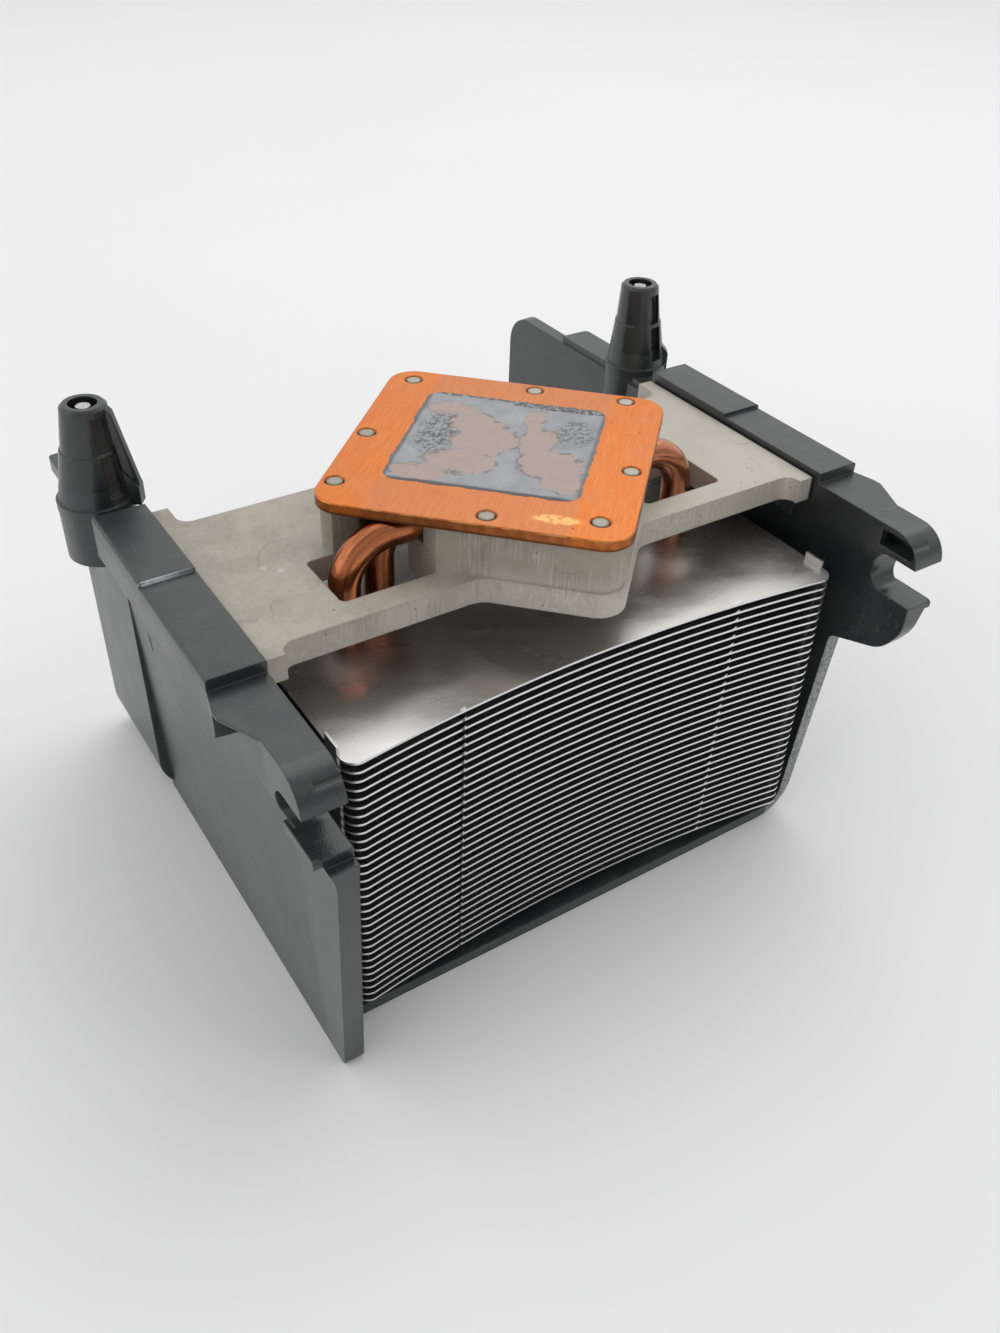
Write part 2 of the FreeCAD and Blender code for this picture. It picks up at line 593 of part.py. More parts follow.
def post_grooves(seam):
    """Upright grooves in a post, each broken by a web at the seam."""
    low, high = BRACKET_TOP + POST_GROOVE_START, POST_TOP - POST_GROOVE_END
    floor_low = POST_BASE_R - POST_GROOVE_DEEP
    floor_high = POST_TIP_R - POST_GROOVE_DEEP + 0.4
    half = POST_GROOVE / 2
    web = POST_GROOVE_WEB / 2

    def floor_at(z):
        return floor_low + (floor_high - floor_low) * (z - low) / (high - low)

    grooves = []
    for angle in POST_GROOVE_ANGLES:
        for start, end in ((low, seam - web), (seam + web, high)):
            groove = rail([
                (floor_at(start), start), (2 * POST_BASE_R, start), (2 * POST_BASE_R, end),
                (floor_at(end), end),
            ], -half, half)
            groove.rotate(V(0, 0, 0), V(0, 0, 1), angle)
            grooves.append(groove)
    return grooves


def post_bore(side):
    """Head chamber, neck and thread bore of a post."""
    low = BRACKET_TOP - BOSS_LENGTH
    chamber = SCREW_HEAD_D / 2 + HEAD_ROOM
    neck = SCREW_NECK_D / 2 + SCREW_FIT
    bore = SCREW_D / 2 + BORE_ROOM
    shoulder = low + NECK_SHOULDER
    return turned([
        (0, low - 1), (chamber, low - 1), (chamber, shoulder), (neck, shoulder),
        (neck, shoulder + NECK_LENGTH), (bore, shoulder + NECK_LENGTH), (bore, POST_TOP + 1),
        (0, POST_TOP + 1),
    ], side * POST_X, POST_Y)


def channel():
    """Floor of the shroud and the lower part of its walls, with rounded feet."""
    joint = KNEE_Z / 2
    right = wall_section(RIGHT_FOOT, RIGHT_WALL_THICK, joint)
    left = wall_section(LEFT_FOOT, LEFT_WALL_THICK, joint)
    right_floor = wall_section(RIGHT_FOOT, RIGHT_WALL_THICK, FLOOR_THICK)[-1]
    left_floor = wall_section(LEFT_FOOT, LEFT_WALL_THICK, FLOOR_THICK)[-1]
    return rail([
        (-LEFT_FOOT, 0, LEFT_FOOT_ROUND), (RIGHT_FOOT, 0, RIGHT_FOOT_ROUND), right[0], right[-1],
        (*right_floor, RIGHT_FOOT_INSIDE), (-left_floor[0], left_floor[1], 1),
        (-left[-1][0], joint), (-left[0][0], joint),
    ], FLOOR_FRONT, POST_Y)


def side_walls():
    """Left wall with its forward wing, and right wall with its hook lug."""
    joint = KNEE_Z / 2
    right = rail(wall_section(RIGHT_FOOT, RIGHT_WALL_THICK, joint), FRONT, POST_Y)
    right_front = [
        (FLOOR_FRONT, 0), (FLOOR_FRONT, ARM_TOP - LUG_ROOT, FRONT_EDGE_ROUND),
        (FRONT + LUG_TOE_BACK, ARM_TOP - LUG_TOE, LUG_ROUND),
        (FRONT + JAW_TIP, ARM_TOP - LUG_CHIN, LUG_ROUND),
    ]
    right = right.common(cheek(side_outline(right_front), 0, FLANGE_OUT + 5))
    left = rail(wall_section(LEFT_FOOT, LEFT_WALL_THICK, 0), FRONT, POST_Y)
    wing_top = SLOT_BOTTOM - JAW_THICK
    left_front = [
        (FRONT + WING_SLOPE_TO, 0, FRONT_EDGE_ROUND), (FRONT, wing_top), (FRONT + JAW_TIP, wing_top),
    ]
    left = left.common(cheek(side_outline(left_front), 0, FLANGE_OUT + 5))
    return [right, mirrored(left)]


def rear_duct():
    """Upright rear panels and floor, longer at the right, with a web at the step to the front walls."""
    inner = REAR_OUT - REAR_WALL_THICK
    inside = REAR_FOOT_ROUND - REAR_WALL_THICK
    duct = rail([
        (-REAR_OUT, 0, REAR_FOOT_ROUND), (REAR_OUT, 0, REAR_FOOT_ROUND), (REAR_OUT, REAR_TOP),
        (inner, REAR_TOP), (inner, FLOOR_THICK, inside), (-inner, FLOOR_THICK, inside),
        (-inner, REAR_TOP), (-REAR_OUT, REAR_TOP),
    ], POST_Y, REAR)
    plan = slab([
        (-REAR_OUT, POST_Y), (REAR_OUT, POST_Y), (REAR_OUT, REAR), (-REAR_OUT, LEFT_REAR),
    ], 0, REAR_TOP)
    duct = duct.common(plan)
    ends = [
        edge for edge in duct.Edges
        if edge.BoundBox.ZMin > REAR_TOP - 1e-4 and edge.BoundBox.YMin > LEFT_REAR - 1
        and edge.BoundBox.XLength < REAR_WALL_THICK + 1e-4
    ]
    duct = duct.makeFillet(REAR_WALL_ROUND, ends)
    right = step_web(RIGHT_FOOT, RIGHT_WALL_THICK)
    return duct.fuse([right, mirrored(step_web(LEFT_FOOT, LEFT_WALL_THICK))])


def step_web(foot, foot_thick):
    """Right-hand web that closes the step between a leaning front wall and its upright rear panel."""
    section = wall_section(foot, foot_thick, FLOOR_THICK)
    return rail([
        (FIN_HALF / 2, 0), (REAR_OUT, 0, REAR_FOOT_ROUND), (REAR_OUT, KNEE_Z), (FLANGE_IN, KNEE_Z),
        section[-1], (FIN_HALF / 2, FLOOR_THICK),
    ], POST_Y - REAR_WALL_THICK / 2, POST_Y + REAR_WALL_THICK / 2)


def shroud():
    """One-piece plastic shroud: channel, hooks, flanges, ledges and screw posts."""
    middle = flange(BIG_STEP, SMALL_STEP, BRACKET_TOP + FLANGE_RISE_MID)
    rear = flange(SMALL_STEP, FLANGE_END, BRACKET_TOP + FLANGE_RISE_REAR)
    features = [lower_jaw(), shoulder(), middle, rear, tail(), ledge()]
    features += [mirrored(feature) for feature in features]
    features += side_walls()
    features += [rear_duct(), post(-1), post(1)]
    body = channel().fuse(features)
    cuts = hook_cuts()
    cuts += [mirrored(cut) for cut in cuts]
    cuts += [post_bore(-1), post_bore(1)]
    return body.cut(cuts).removeSplitter()


def captive_screw(x):
    """Captive screw, head down in its boss, thread resting on the neck."""
    shoulder = BRACKET_TOP - BOSS_LENGTH + NECK_SHOULDER
    head_top = shoulder - SCREW_TRAVEL - SCREW_REST_GAP
    head = head_top - SCREW_HEAD
    thread = shoulder + NECK_LENGTH + SCREW_REST_GAP
    tip = POST_TOP - SCREW_TIP_SINK
    head_r, waist, radius = SCREW_HEAD_D / 2, SCREW_NECK_D / 2, SCREW_D / 2
    screw = turned([
        (0, head), (head_r - SCREW_HEAD_CHAMFER, head), (head_r, head + SCREW_HEAD_CHAMFER),
        (head_r, head_top), (waist, head_top), (waist, thread), (radius, thread),
        (radius, tip - SCREW_POINT), (radius - SCREW_POINT_IN, tip), (0, tip),
    ], x, POST_Y)
    half, reach = DRIVE_SLOT / 2, DRIVE_LENGTH / 2
    along = box((x - reach, POST_Y - half, head), (x + reach, POST_Y + half, head + DRIVE_DEEP))
    across = box((x - half, POST_Y - reach, head), (x + half, POST_Y + reach, head + DRIVE_DEEP))
    return screw.cut([along, across]).removeSplitter()


def nodes():
    """Every node of the assembly by name."""
    yield "shroud", shroud()
    yield "bracket", bracket()
    yield "base_plate", base_plate()
    yield "heat_pipe_outer", heat_pipe(OUTER_LEG_X, OUTER_PIPE_Y)
    yield "heat_pipe_inner", heat_pipe(INNER_LEG_X, INNER_PIPE_Y)
    yield "captive_screw_left", captive_screw(-POST_X)
    yield "captive_screw_right", captive_screw(POST_X)
    lowest = fin()
    for index in range(FIN_COUNT):
        copy = lowest.copy()
        copy.translate(V(0, 0, index * FIN_PITCH))
        yield "fin_%02d" % (index + 1), copy


os.makedirs("parts", exist_ok=True)
for name, shape in nodes():
    shape.exportStep(os.path.join("parts", name + ".step"))
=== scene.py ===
import math

import bmesh
import bpy
from mathutils import Matrix, Vector, noise


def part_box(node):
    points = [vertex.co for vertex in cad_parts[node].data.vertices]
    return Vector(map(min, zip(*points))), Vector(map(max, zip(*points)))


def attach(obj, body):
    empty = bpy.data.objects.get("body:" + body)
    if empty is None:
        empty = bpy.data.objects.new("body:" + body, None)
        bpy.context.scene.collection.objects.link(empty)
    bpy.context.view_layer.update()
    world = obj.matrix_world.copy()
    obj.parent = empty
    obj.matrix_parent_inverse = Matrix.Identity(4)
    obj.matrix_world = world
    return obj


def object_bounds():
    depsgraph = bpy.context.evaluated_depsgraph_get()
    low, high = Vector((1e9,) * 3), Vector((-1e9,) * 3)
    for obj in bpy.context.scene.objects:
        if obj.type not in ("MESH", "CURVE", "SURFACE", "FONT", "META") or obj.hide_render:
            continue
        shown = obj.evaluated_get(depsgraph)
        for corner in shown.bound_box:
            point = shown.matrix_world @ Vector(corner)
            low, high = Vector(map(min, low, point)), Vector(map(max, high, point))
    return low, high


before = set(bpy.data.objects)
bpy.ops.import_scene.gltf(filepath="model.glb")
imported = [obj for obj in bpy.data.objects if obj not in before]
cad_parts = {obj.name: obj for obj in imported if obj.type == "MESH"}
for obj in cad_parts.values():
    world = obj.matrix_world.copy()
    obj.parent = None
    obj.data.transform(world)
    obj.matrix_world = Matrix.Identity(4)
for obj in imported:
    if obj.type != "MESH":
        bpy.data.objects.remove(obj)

bl_info = {
    "name": "Processor heatsink looks",
    "version": (1, 0, 0),
    "blender": (4, 5, 0),
    "location": "View3D > Sidebar > Heatsink",
    "description": "Finishes, left-over paste, small shapes and stage for a processor heatsink",
    "category": "Object",
}

MM = 0.001
CAD_LOW, CAD_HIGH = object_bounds()
PLATE_LOW, PLATE_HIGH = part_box("base_plate")
PLATE_MIDDLE = (PLATE_LOW + PLATE_HIGH) / 2
PLATE_TURN = math.radians(45)
STUD_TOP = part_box("bracket")[1].z
SCREWS = {"left_screw": "captive_screw_left", "right_screw": "captive_screw_right"}
FINS = sorted(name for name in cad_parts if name.startswith("fin_"))

# Places and sizes on the bare model, in millimetres.
BEAM_TOP = 68.304  # upper face of the casting's beams
POST_FOOT = 70.2  # a post stands clear of its wall above this
TOP_FIN = 56.55  # parts the top fin's upper face from all below it
PIPE_RADIUS, PIPE_BEND = 2.5, 8.0
STUD_APART = 3.0  # corners of one stud's top lie closer than this

# Small shapes, in metres.
WEB_TURN = math.radians(-35)
HEAD_SHARE = 0.985  # a stud head's radius over its stud's
SHANK_LONG = 6 * MM
THREAD_FROM, THREAD_TO = 16.2 * MM, 1.5 * MM  # below the screw's tip
THREAD_SINK = 0.05 * MM

# Stage, in metres. A light has a name, a place, a width and the setting that holds its power.
LIGHTS = (
    ("overhead_window", (0.45, 0.30, 0.95), 0.9, "window"),
    ("left_fill", (-0.95, 0.10, 0.45), 0.8, "fill"),
    ("front_lamp", (0.62, -0.82, 0.90), 0.35, "lamp"),
)
LIGHT_AIM = Vector((0, 0, 0.04))
CAMERA_PLACE = (-0.0952, -0.154675, 0.1661)
CAMERA_RIGHT = Vector((0.8386, -0.5438, 0.0326))
CAMERA_FORWARD = Vector((0.4453, 0.6498, -0.6160))
FLOOR_HALF = 6.0
FLOOR_GAP = 0.02 * MM


def colour(name, text, value):
    """Colour property with its default."""
    return bpy.props.FloatVectorProperty(
        name=name, description=text, subtype="COLOR", size=3, min=0, max=1, default=value)


def length(name, text, value_mm):
    """Length property, given in millimetres and held in metres."""
    return bpy.props.FloatProperty(
        name=name, description=text, unit="LENGTH", subtype="DISTANCE", precision=5,
        default=value_mm * MM)


def strength(name, text, value):
    """Strength of a light."""
    return bpy.props.FloatProperty(name=name, description=text, default=value, min=0)


class HeatsinkSizes(bpy.types.PropertyGroup):
    """Sizes of the pieces that are added to the bare model."""

    paste_width: length("Paste width", "Paste print across the plate", 31.0)
    paste_length: length("Paste length", "Paste print along the plate", 31.6)
    paste_shift: length("Paste shift", "Paste print off the plate's middle, along it", 1.1)
    paste_corner: length("Paste corner", "Corner radius of the paste print", 2.6)
    paste_wobble: length("Paste wobble", "Unevenness of the paste's edge", 0.34)
    paste_thick: length("Paste film", "Thickness of the paste's rim", 0.14)
    web_reach: length("Web reach", "Reach of the left post's web from its axis, at the foot", 7.0)
    web_depth: length("Web depth", "Depth of the web at its foot", 4.1)
    web_thick: length("Web thickness", "Thickness of the web", 1.8)
    web_crest: length("Web crest", "Width of the web's flat crest and of its chamfer", 0.7)
    web_inset: length("Web inset", "Web's ends off the post's tip and the beam's top", 0.5)
    web_round: length("Web edge", "Rounding of the web's edges", 0.25)
    stud_crown: length("Stud crown", "Height of a peened stud's crown", 0.09)
    thread_pitch: length("Thread pitch", "Pitch of the captive screws' thread", 0.6)
    thread_height: length("Thread height", "Height of the thread's ridge", 0.2)


class HeatsinkColours(bpy.types.PropertyGroup):
    """Colours of the finishes."""

    plastic: colour("Plastic", "Black moulded plastic", (0.0165, 0.0195, 0.021))
    # Also painted sheen on the left wall's outer face.
    plastic_pale: colour("Plastic bloom", "Bloom and dust on the plastic", (0.085, 0.088, 0.086))
    plastic_gloss: colour("Plastic gloss", "Glossy plastic of the posts", (0.010, 0.011, 0.0125))
    plastic_cut: colour("Plastic cut", "Inside of a seam or nick", (0.006, 0.006, 0.007))
    # Painted highlight: white glare along the small step's edge.
    plastic_glare: colour("Plastic rub", "Rubbed white edge", (0.72, 0.74, 0.78))
    plastic_sawn: colour("Plastic edge", "Rough edge of the right wall", (0.36, 0.37, 0.365))
    cast: colour("Casting", "Grey die casting", (0.45, 0.418, 0.355))
    cast_dark: colour("Casting stain", "Darker skin of the casting", (0.31, 0.283, 0.232))
    # Painted light on the right half and on front faces.
    cast_lit: colour("Clean casting", "Paler skin on the right and in front", (0.60, 0.565, 0.495))
    # Painted shade on the pedestal's sides.
    cast_pedestal_shade: colour("Pedestal", "Darker sides of the pedestal", (0.27, 0.235, 0.175))
    cast_worn: colour("Casting wear", "Bright scuffs on the casting", (0.62, 0.60, 0.55))
    cast_groove: colour("Casting groove", "Tool grooves on front faces", (0.17, 0.15, 0.115))
    cast_hair: colour("Casting scratch", "Fine dark scratches", (0.20, 0.18, 0.145))
    cast_flow: colour("Casting flow", "Curved line on the left ear", (0.17, 0.15, 0.12))
    cast_pit: colour("Casting pit", "Small pits", (0.09, 0.08, 0.065))
    copper: colour("Copper", "Contact plate", (0.67, 0.184, 0.034))
    copper_pink: colour("Rubbed copper", "Paler rubbed copper", (0.55, 0.20, 0.086))
    copper_brass: colour("Bright rub", "Bright rubbed streak on the plate", (0.86, 0.48, 0.18))
    copper_line: colour("Copper line", "Brushed lines across the plate", (0.93, 0.50, 0.22))
    copper_dull: colour("Dull copper", "Dull stains on the plate", (0.36, 0.11, 0.03))
    # Painted shade round the stud heads.
    copper_nick: colour("Copper nick", "Small dark nicks", (0.12, 0.04, 0.02))
    copper_stud_shade: colour("Copper ring", "Grime round the studs", (0.10, 0.04, 0.02))
    # Darker colour of the plate's side faces.
    copper_sides_dark: colour("Copper grime", "Grime on the plate's sides", (0.26, 0.075, 0.018))
    copper_under: colour("Copper low edge", "Dark low edge of the sides", (0.08, 0.03, 0.012))
    # Painted highlight, with some edge wear.
    copper_lip: colour("Copper lip", "Bright upper edge of the sides", (0.86, 0.44, 0.16))
    pipe: colour("Pipe copper", "Drawn copper pipe", (0.54, 0.183, 0.078))
    pipe_rosy: colour("Rosy pipe", "Paler copper on the right", (0.66, 0.29, 0.17))
    pipe_dark: colour("Pipe tarnish", "Darker streaks along the pipe", (0.20, 0.068, 0.032))
    aluminium: colour("Aluminium", "Sheet of the top fin", (0.61, 0.60, 0.58))
    # Painted shade: darker sheet of the lower fins.
    fin_low_shaded: colour("Lower fins", "Sheet of the fins below", (0.52, 0.51, 0.495))
    fin_haze: colour("Fin haze", "Wiped haze on the top fin", (0.62, 0.60, 0.57))
    fin_rolled: colour("Fin lines", "Rolling lines", (0.90, 0.90, 0.89))
    fin_speck: colour("Fin specks", "Bright specks on the top fin", (0.93, 0.93, 0.93))
    fin_edge: colour("Fin edge", "Sheared edges", (0.83, 0.84, 0.85))
    # Painted shadow beside the left tabs.
    fin_slit_shadow: colour("Fin slit", "Dark slit beside the left tabs", (0.06, 0.06, 0.06))
    steel: colour("Steel", "Captive screws", (0.62, 0.62, 0.61))
    steel_rub: colour("Rubbed steel", "Darker spots on the screws", (0.38, 0.37, 0.35))
    paste: colour("Paste", "Dried thermal paste", (0.305, 0.315, 0.33))
    paste_pale: colour("Pale paste", "Paler clouds and veins in the paste", (0.47, 0.49, 0.52))
    paste_thin: colour("Thin paste", "Paste that lets copper through", (0.45, 0.315, 0.268))
    # Also the painted shadow along the paste's lower edge.
    paste_dark: colour("Paste specks", "Dark crumbs and edges of the paste", (0.07, 0.07, 0.075))


class HeatsinkStage(bpy.types.PropertyGroup):
    """Camera, light and floor."""

    floor: colour("Floor", "Pale paper floor", (0.90, 0.90, 0.905))
    sky: strength("Sky", "Soft light from behind and above", 0.93)
    sky_front: strength("Front sky", "Soft light from the front", 0.50)
    window: strength("Window", "Large soft light overhead, in watts", 2.2)
    fill: strength("Fill", "Soft light from the left, in watts", 1.0)
    lamp: strength("Lamp", "Small soft light at the front right, in watts", 0.9)
    lens: bpy.props.FloatProperty(
        name="Lens", description="Focal length in millimetres", unit="CAMERA", default=42.378, min=1)


class Nodes:
    """Node tree that is filled from here."""

    def __init__(self, tree):
        self.tree = tree

    def add(self, kind, inputs=None, **settings):
        """New node with its settings, and its inputs fed by number or name."""
        node = self.tree.nodes.new(kind)
        for key, value in settings.items():
            setattr(node, key, value)
        for key, value in (inputs or {}).items():
            self.feed(node.inputs[key], value)
        return node

    def feed(self, socket, value):
        """Links a socket to another one, or sets its value. A colour gets its alpha."""
        if isinstance(value, bpy.types.NodeSocket):
            self.tree.links.new(value, socket)
        elif hasattr(value, "__len__"):
            value = tuple(value)
            socket.default_value = value + (1.0,) * (len(socket.default_value) - len(value))
        else:
            socket.default_value = value

    def math(self, kind, a, b=0.0):
        """One arithmetic step."""
        return self.add("ShaderNodeMath", {0: a, 1: b}, operation=kind).outputs[0]


class Finish(Nodes):
    """One material. Positions and sizes in it are millimetres in the part's frame."""

    def __init__(self, name):
        self.material = bpy.data.materials.new(name)
        self.material.use_nodes = True
        super().__init__(self.material.node_tree)
        self.shader = self.tree.nodes["Principled BSDF"]
        metres = self.add("ShaderNodeTexCoord").outputs["Object"]
        self.place = self.add(
            "ShaderNodeVectorMath", {0: metres, "Scale": 1 / MM}, operation="SCALE").outputs[0]
        self.x, self.y, self.z = self.apart(self.place)

    def set(self, **values):
        """Feeds the shader's own sockets; words in a name are parted by underscores."""
        for key, value in values.items():
            name = key.replace("_", " ").title().replace("Ior", "IOR")
            self.feed(self.shader.inputs[name], value)

    def apart(self, place):
        """The three numbers of a place."""
        return self.add("ShaderNodeSeparateXYZ", {0: place}).outputs

    def vector(self, kind, a, b):
        """One step of vector arithmetic."""
        return self.add("ShaderNodeVectorMath", {0: a, 1: b}, operation=kind).outputs[0]

    def size(self, place):
        """Length of a vector."""
        return self.add("ShaderNodeVectorMath", {0: place}, operation="LENGTH").outputs["Value"]

    def chain(self, kind, values):
        """One arithmetic step from value to value."""
        whole = values[0]
        for value in values[1:]:
            whole = self.math(kind, whole, value)
        return whole

    def both(self, *masks):
        """Product of masks."""
        return self.chain("MULTIPLY", masks)

    def either(self, *masks):
        """The strongest of several masks."""
        return self.chain("MAXIMUM", masks)

    def part(self, value, share):
        """Share of a value."""
        return value if share == 1 else self.math("MULTIPLY", value, share)

    def total(self, *terms):
        """Sum of values, each with its share."""
        return self.chain("ADD", [self.part(value, share) for value, share in terms])

    def band(self, value, low, high):
        """0 below low, 1 above high, smooth between; low over high turns it round."""
        return self.add(
            "ShaderNodeMapRange", {"Value": value, "From Min": low, "From Max": high},
            interpolation_type="SMOOTHSTEP").outputs[0]

    def inside(self, value, low, high, soft):
        """1 between two places on one axis, with soft ends."""
        rise = self.band(value, low - soft, low + soft)
        return self.both(rise, self.band(value, high + soft, high - soft))

    def mix(self, amount, a, b):
        """Colour between two colours."""
        node = self.add("ShaderNodeMix", data_type="RGBA")
        for index, value in ((0, amount), (6, a), (7, b)):
            self.feed(node.inputs[index], value)
        return node.outputs[2]

    def paint(self, tone, mask, over, share=1):
        """A colour with another one laid over it, by a share of a mask."""
        return self.mix(self.part(mask, share), tone, over)

    def level(self, amount, a, b):
        """Number between two numbers."""
        return self.add("ShaderNodeMix", {0: amount, 2: a, 3: b}).outputs[0]

    def stretched(self, stretch, place=None):
        """The place stretched along each axis."""
        return self.vector("MULTIPLY", place or self.place, stretch)

    def turned(self, middle, angle, stretch=(1, 1, 1)):
        """The place seen from a point, turned about Z, and then stretched."""
        shift = -(Matrix.Rotation(angle, 3, "Z") @ Vector(middle))
        seen = self.add("ShaderNodeMapping", {0: self.place, 1: shift, 2: (0, 0, angle)})
        return self.stretched(stretch, seen.outputs[0])

    def noise(self, scale, detail, place=None, rough=0.5, bend=0.0):
        """Noise node: a number first, and three numbers as its colour."""
        return self.add("ShaderNodeTexNoise", {
            "Vector": place or self.place, "Scale": scale, "Detail": detail, "Roughness": rough,
            "Distortion": bend})

    def grain(self, size, detail=2.0, place=None, rough=0.5):
        """Noise from 0 to 1 with spots of about this size."""
        return self.noise(1.0 / size, detail, place, rough).outputs[0]

    def wander(self, size, detail):
        """Noise about zero."""
        return self.math("SUBTRACT", self.grain(size, detail), 0.5)

    def cells(self, size):
        """Distance to the nearest of scattered points."""
        return self.add(
            "ShaderNodeTexVoronoi", {"Vector": self.place, "Scale": 1.0 / size}).outputs["Distance"]

    def spot(self, place, middle, radii, soft):
        """1 inside an oval round a point, fading to 0 about its edge."""
        away = self.stretched([1.0 / r for r in radii], self.vector("SUBTRACT", place, middle))
        return self.band(self.size(away), 1.0 + soft, 1.0 - soft)

    def axis_gap(self, middle):
        """Level distance to an upright line through a point."""
        return self.size(self.stretched((1, 1, 0), self.vector("SUBTRACT", self.place, middle)))

    def facing(self, axis):
        """How far the surface looks along X, Y or Z, given as 0, 1 or 2."""
        return self.apart(self.add("ShaderNodeNewGeometry").outputs["True Normal"])[axis]

    def bump(self, height, depth, amount, edge=0.0):
        """Relief of this depth on the shader's normal, over edges rounded by a small radius."""
        inputs = {"Height": height, "Distance": depth * MM, "Strength": amount}
        if edge:
            rounded = self.add("ShaderNodeBevel", {"Radius": edge * MM}, samples=4)
            inputs["Normal"] = rounded.outputs[0]
        self.set(normal=self.add("ShaderNodeBump", inputs).outputs[0])


def dress(node, material):
    """Gives a node of the bare model its finish."""
    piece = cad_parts[node]
    if not piece.material_slots:
        piece.data.materials.append(material)
    for slot in piece.material_slots:
        slot.material = material


def added(name, mesh, body):
    """New piece at the origin that moves with a body."""
    piece = bpy.data.objects.new(name, mesh)
    bpy.context.scene.collection.objects.link(piece)
    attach(piece, body)


def plastic_finish(colours):
    """Black plastic: bloom, dust on top, a painted sheen on the left wall, glossy posts, cuts, a
    painted highlight along the small step's edge and a pale rough edge on the right wall.
    """
    f = Finish("black_plastic")
    bloom = f.band(f.grain(16, 3), 0.38, 0.72)
    speckle = f.band(f.grain(0.45, 2), 0.50, 0.72)
    up = f.band(f.facing(2), 0.4, 0.95)
    dust = f.both(up, f.band(f.grain(5.0, 4, rough=0.65), 0.42, 0.75))
    lines = f.band(f.grain(2.6, 1, f.stretched((0.25, 3.0, 1.2))), 0.66, 0.70)
    scratch = f.both(lines, f.band(f.grain(11, 2), 0.52, 0.62))
    # Painted sheen: the left wall's outer face is painted paler, standing in for the grazing sheen on
    # it.
    wall = f.both(
        f.band(f.facing(0), -0.7, -0.95), f.band(f.x, -52.0, -53.0), f.band(f.z, 68.5, 66.5))
    pale = f.total((bloom, 0.22), (speckle, 0.16), (dust, 0.26), (scratch, 0.35), (wall, 0.55))
    tone = f.mix(pale, colours.plastic, colours.plastic_pale)
    gloss = f.part(f.band(f.z, POST_FOOT, POST_FOOT + 0.5), 0.8)
    tone = f.paint(tone, gloss, colours.plastic_gloss)
    seam_place = f.turned((54.4, -48.6, 67.5), math.radians(45))
    seam = f.spot(seam_place, (0, 0, 0), (1.6, 0.13, 0.6), 0.35)
    nick = f.spot(f.place, (-54.3, 11.2, 43.2), (3.0, 0.5, 2.0), 0.3)
    nick = f.both(nick, f.band(f.grain(0.7, 2), 0.36, 0.5))
    tone = f.paint(tone, f.either(seam, f.part(nick, 0.85)), colours.plastic_cut)
    # Painted highlight: a white glare along the rounded top edge of the small step.
    edge_glare = f.both(
        f.inside(f.y, -11.0, -10.65, 0.14), f.band(f.z, 69.3, 69.5),
        f.level(f.band(f.x, -52.0, -57.5), 0.25, 1.0), f.band(f.x, -51.3, -51.8),
        f.band(f.grain(0.8, 3), 0.18, 0.46))
    tone = f.paint(tone, edge_glare, colours.plastic_glare)
    edge = f.both(
        f.band(f.facing(1), -0.6, -0.9), f.band(f.x, 44.0, 45.0), f.band(f.z, 44.0, 41.0))
    sawn = f.both(edge, f.band(f.grain(0.5, 3, rough=0.65), 0.25, 0.75))
    f.set(base_color=f.paint(tone, sawn, colours.plastic_sawn))
    wear = f.total((f.grain(3.0, 3), 0.5), (bloom, 0.5))
    sheen = f.either(gloss, f.part(f.band(f.y, -46.0, -50.0), 0.8))
    rough = f.level(sheen, f.level(wear, 0.30, 0.46), 0.24)
    f.set(roughness=f.level(nick, rough, 1.0), specular_ior_level=0.78)
    relief = f.total((f.grain(0.28, 2), 1), (f.grain(6, 2), 0.6), (seam, -2.0))
    f.bump(relief, 0.035, 0.6, edge=0.35)
    return f.material


def web_mesh(sizes):
    """Tapering web up the inner side of the left post, from its foot to just under its tip."""
    low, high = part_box(SCREWS["left_screw"])
    axis = (low + high) / 2
    tip, foot = CAD_HIGH.z - sizes.web_inset, BEAM_TOP * MM + sizes.web_inset
    outer, inner = sizes.web_reach, sizes.web_reach - sizes.web_depth
    crest = sizes.web_crest
    outline = (
        (inner, tip), (inner + crest, tip), (inner + 2 * crest, tip - crest),
        (outer, foot + 2 * crest), (outer, foot), (inner, foot))
    turn = Matrix.Translation((axis.x, axis.y, 0)) @ Matrix.Rotation(WEB_TURN, 4, "Z")
    mesh = bmesh.new()
    sides = []
    for half in (-sizes.web_thick / 2, sizes.web_thick / 2):
        sides.append([mesh.verts.new(turn @ Vector((reach, half, up))) for reach, up in outline])
    mesh.faces.new(sides[0])
    mesh.faces.new(list(reversed(sides[1])))
    for i in range(len(outline)):
        j = (i + 1) % len(outline)
        mesh.faces.new((sides[0][i], sides[1][i], sides[1][j], sides[0][j]))
    bmesh.ops.recalc_face_normals(mesh, faces=mesh.faces)
    bmesh.ops.bevel(
        mesh, geom=mesh.edges[:], offset=sizes.web_round, segments=2, profile=0.5, affect="EDGES")
    return finished_mesh("left_post_web", mesh)


def finished_mesh(name, mesh):
    """Plain mesh from an edited one, which is freed."""
    plain = bpy.data.meshes.new(name)
    mesh.to_mesh(plain)
    mesh.free()
    return plain


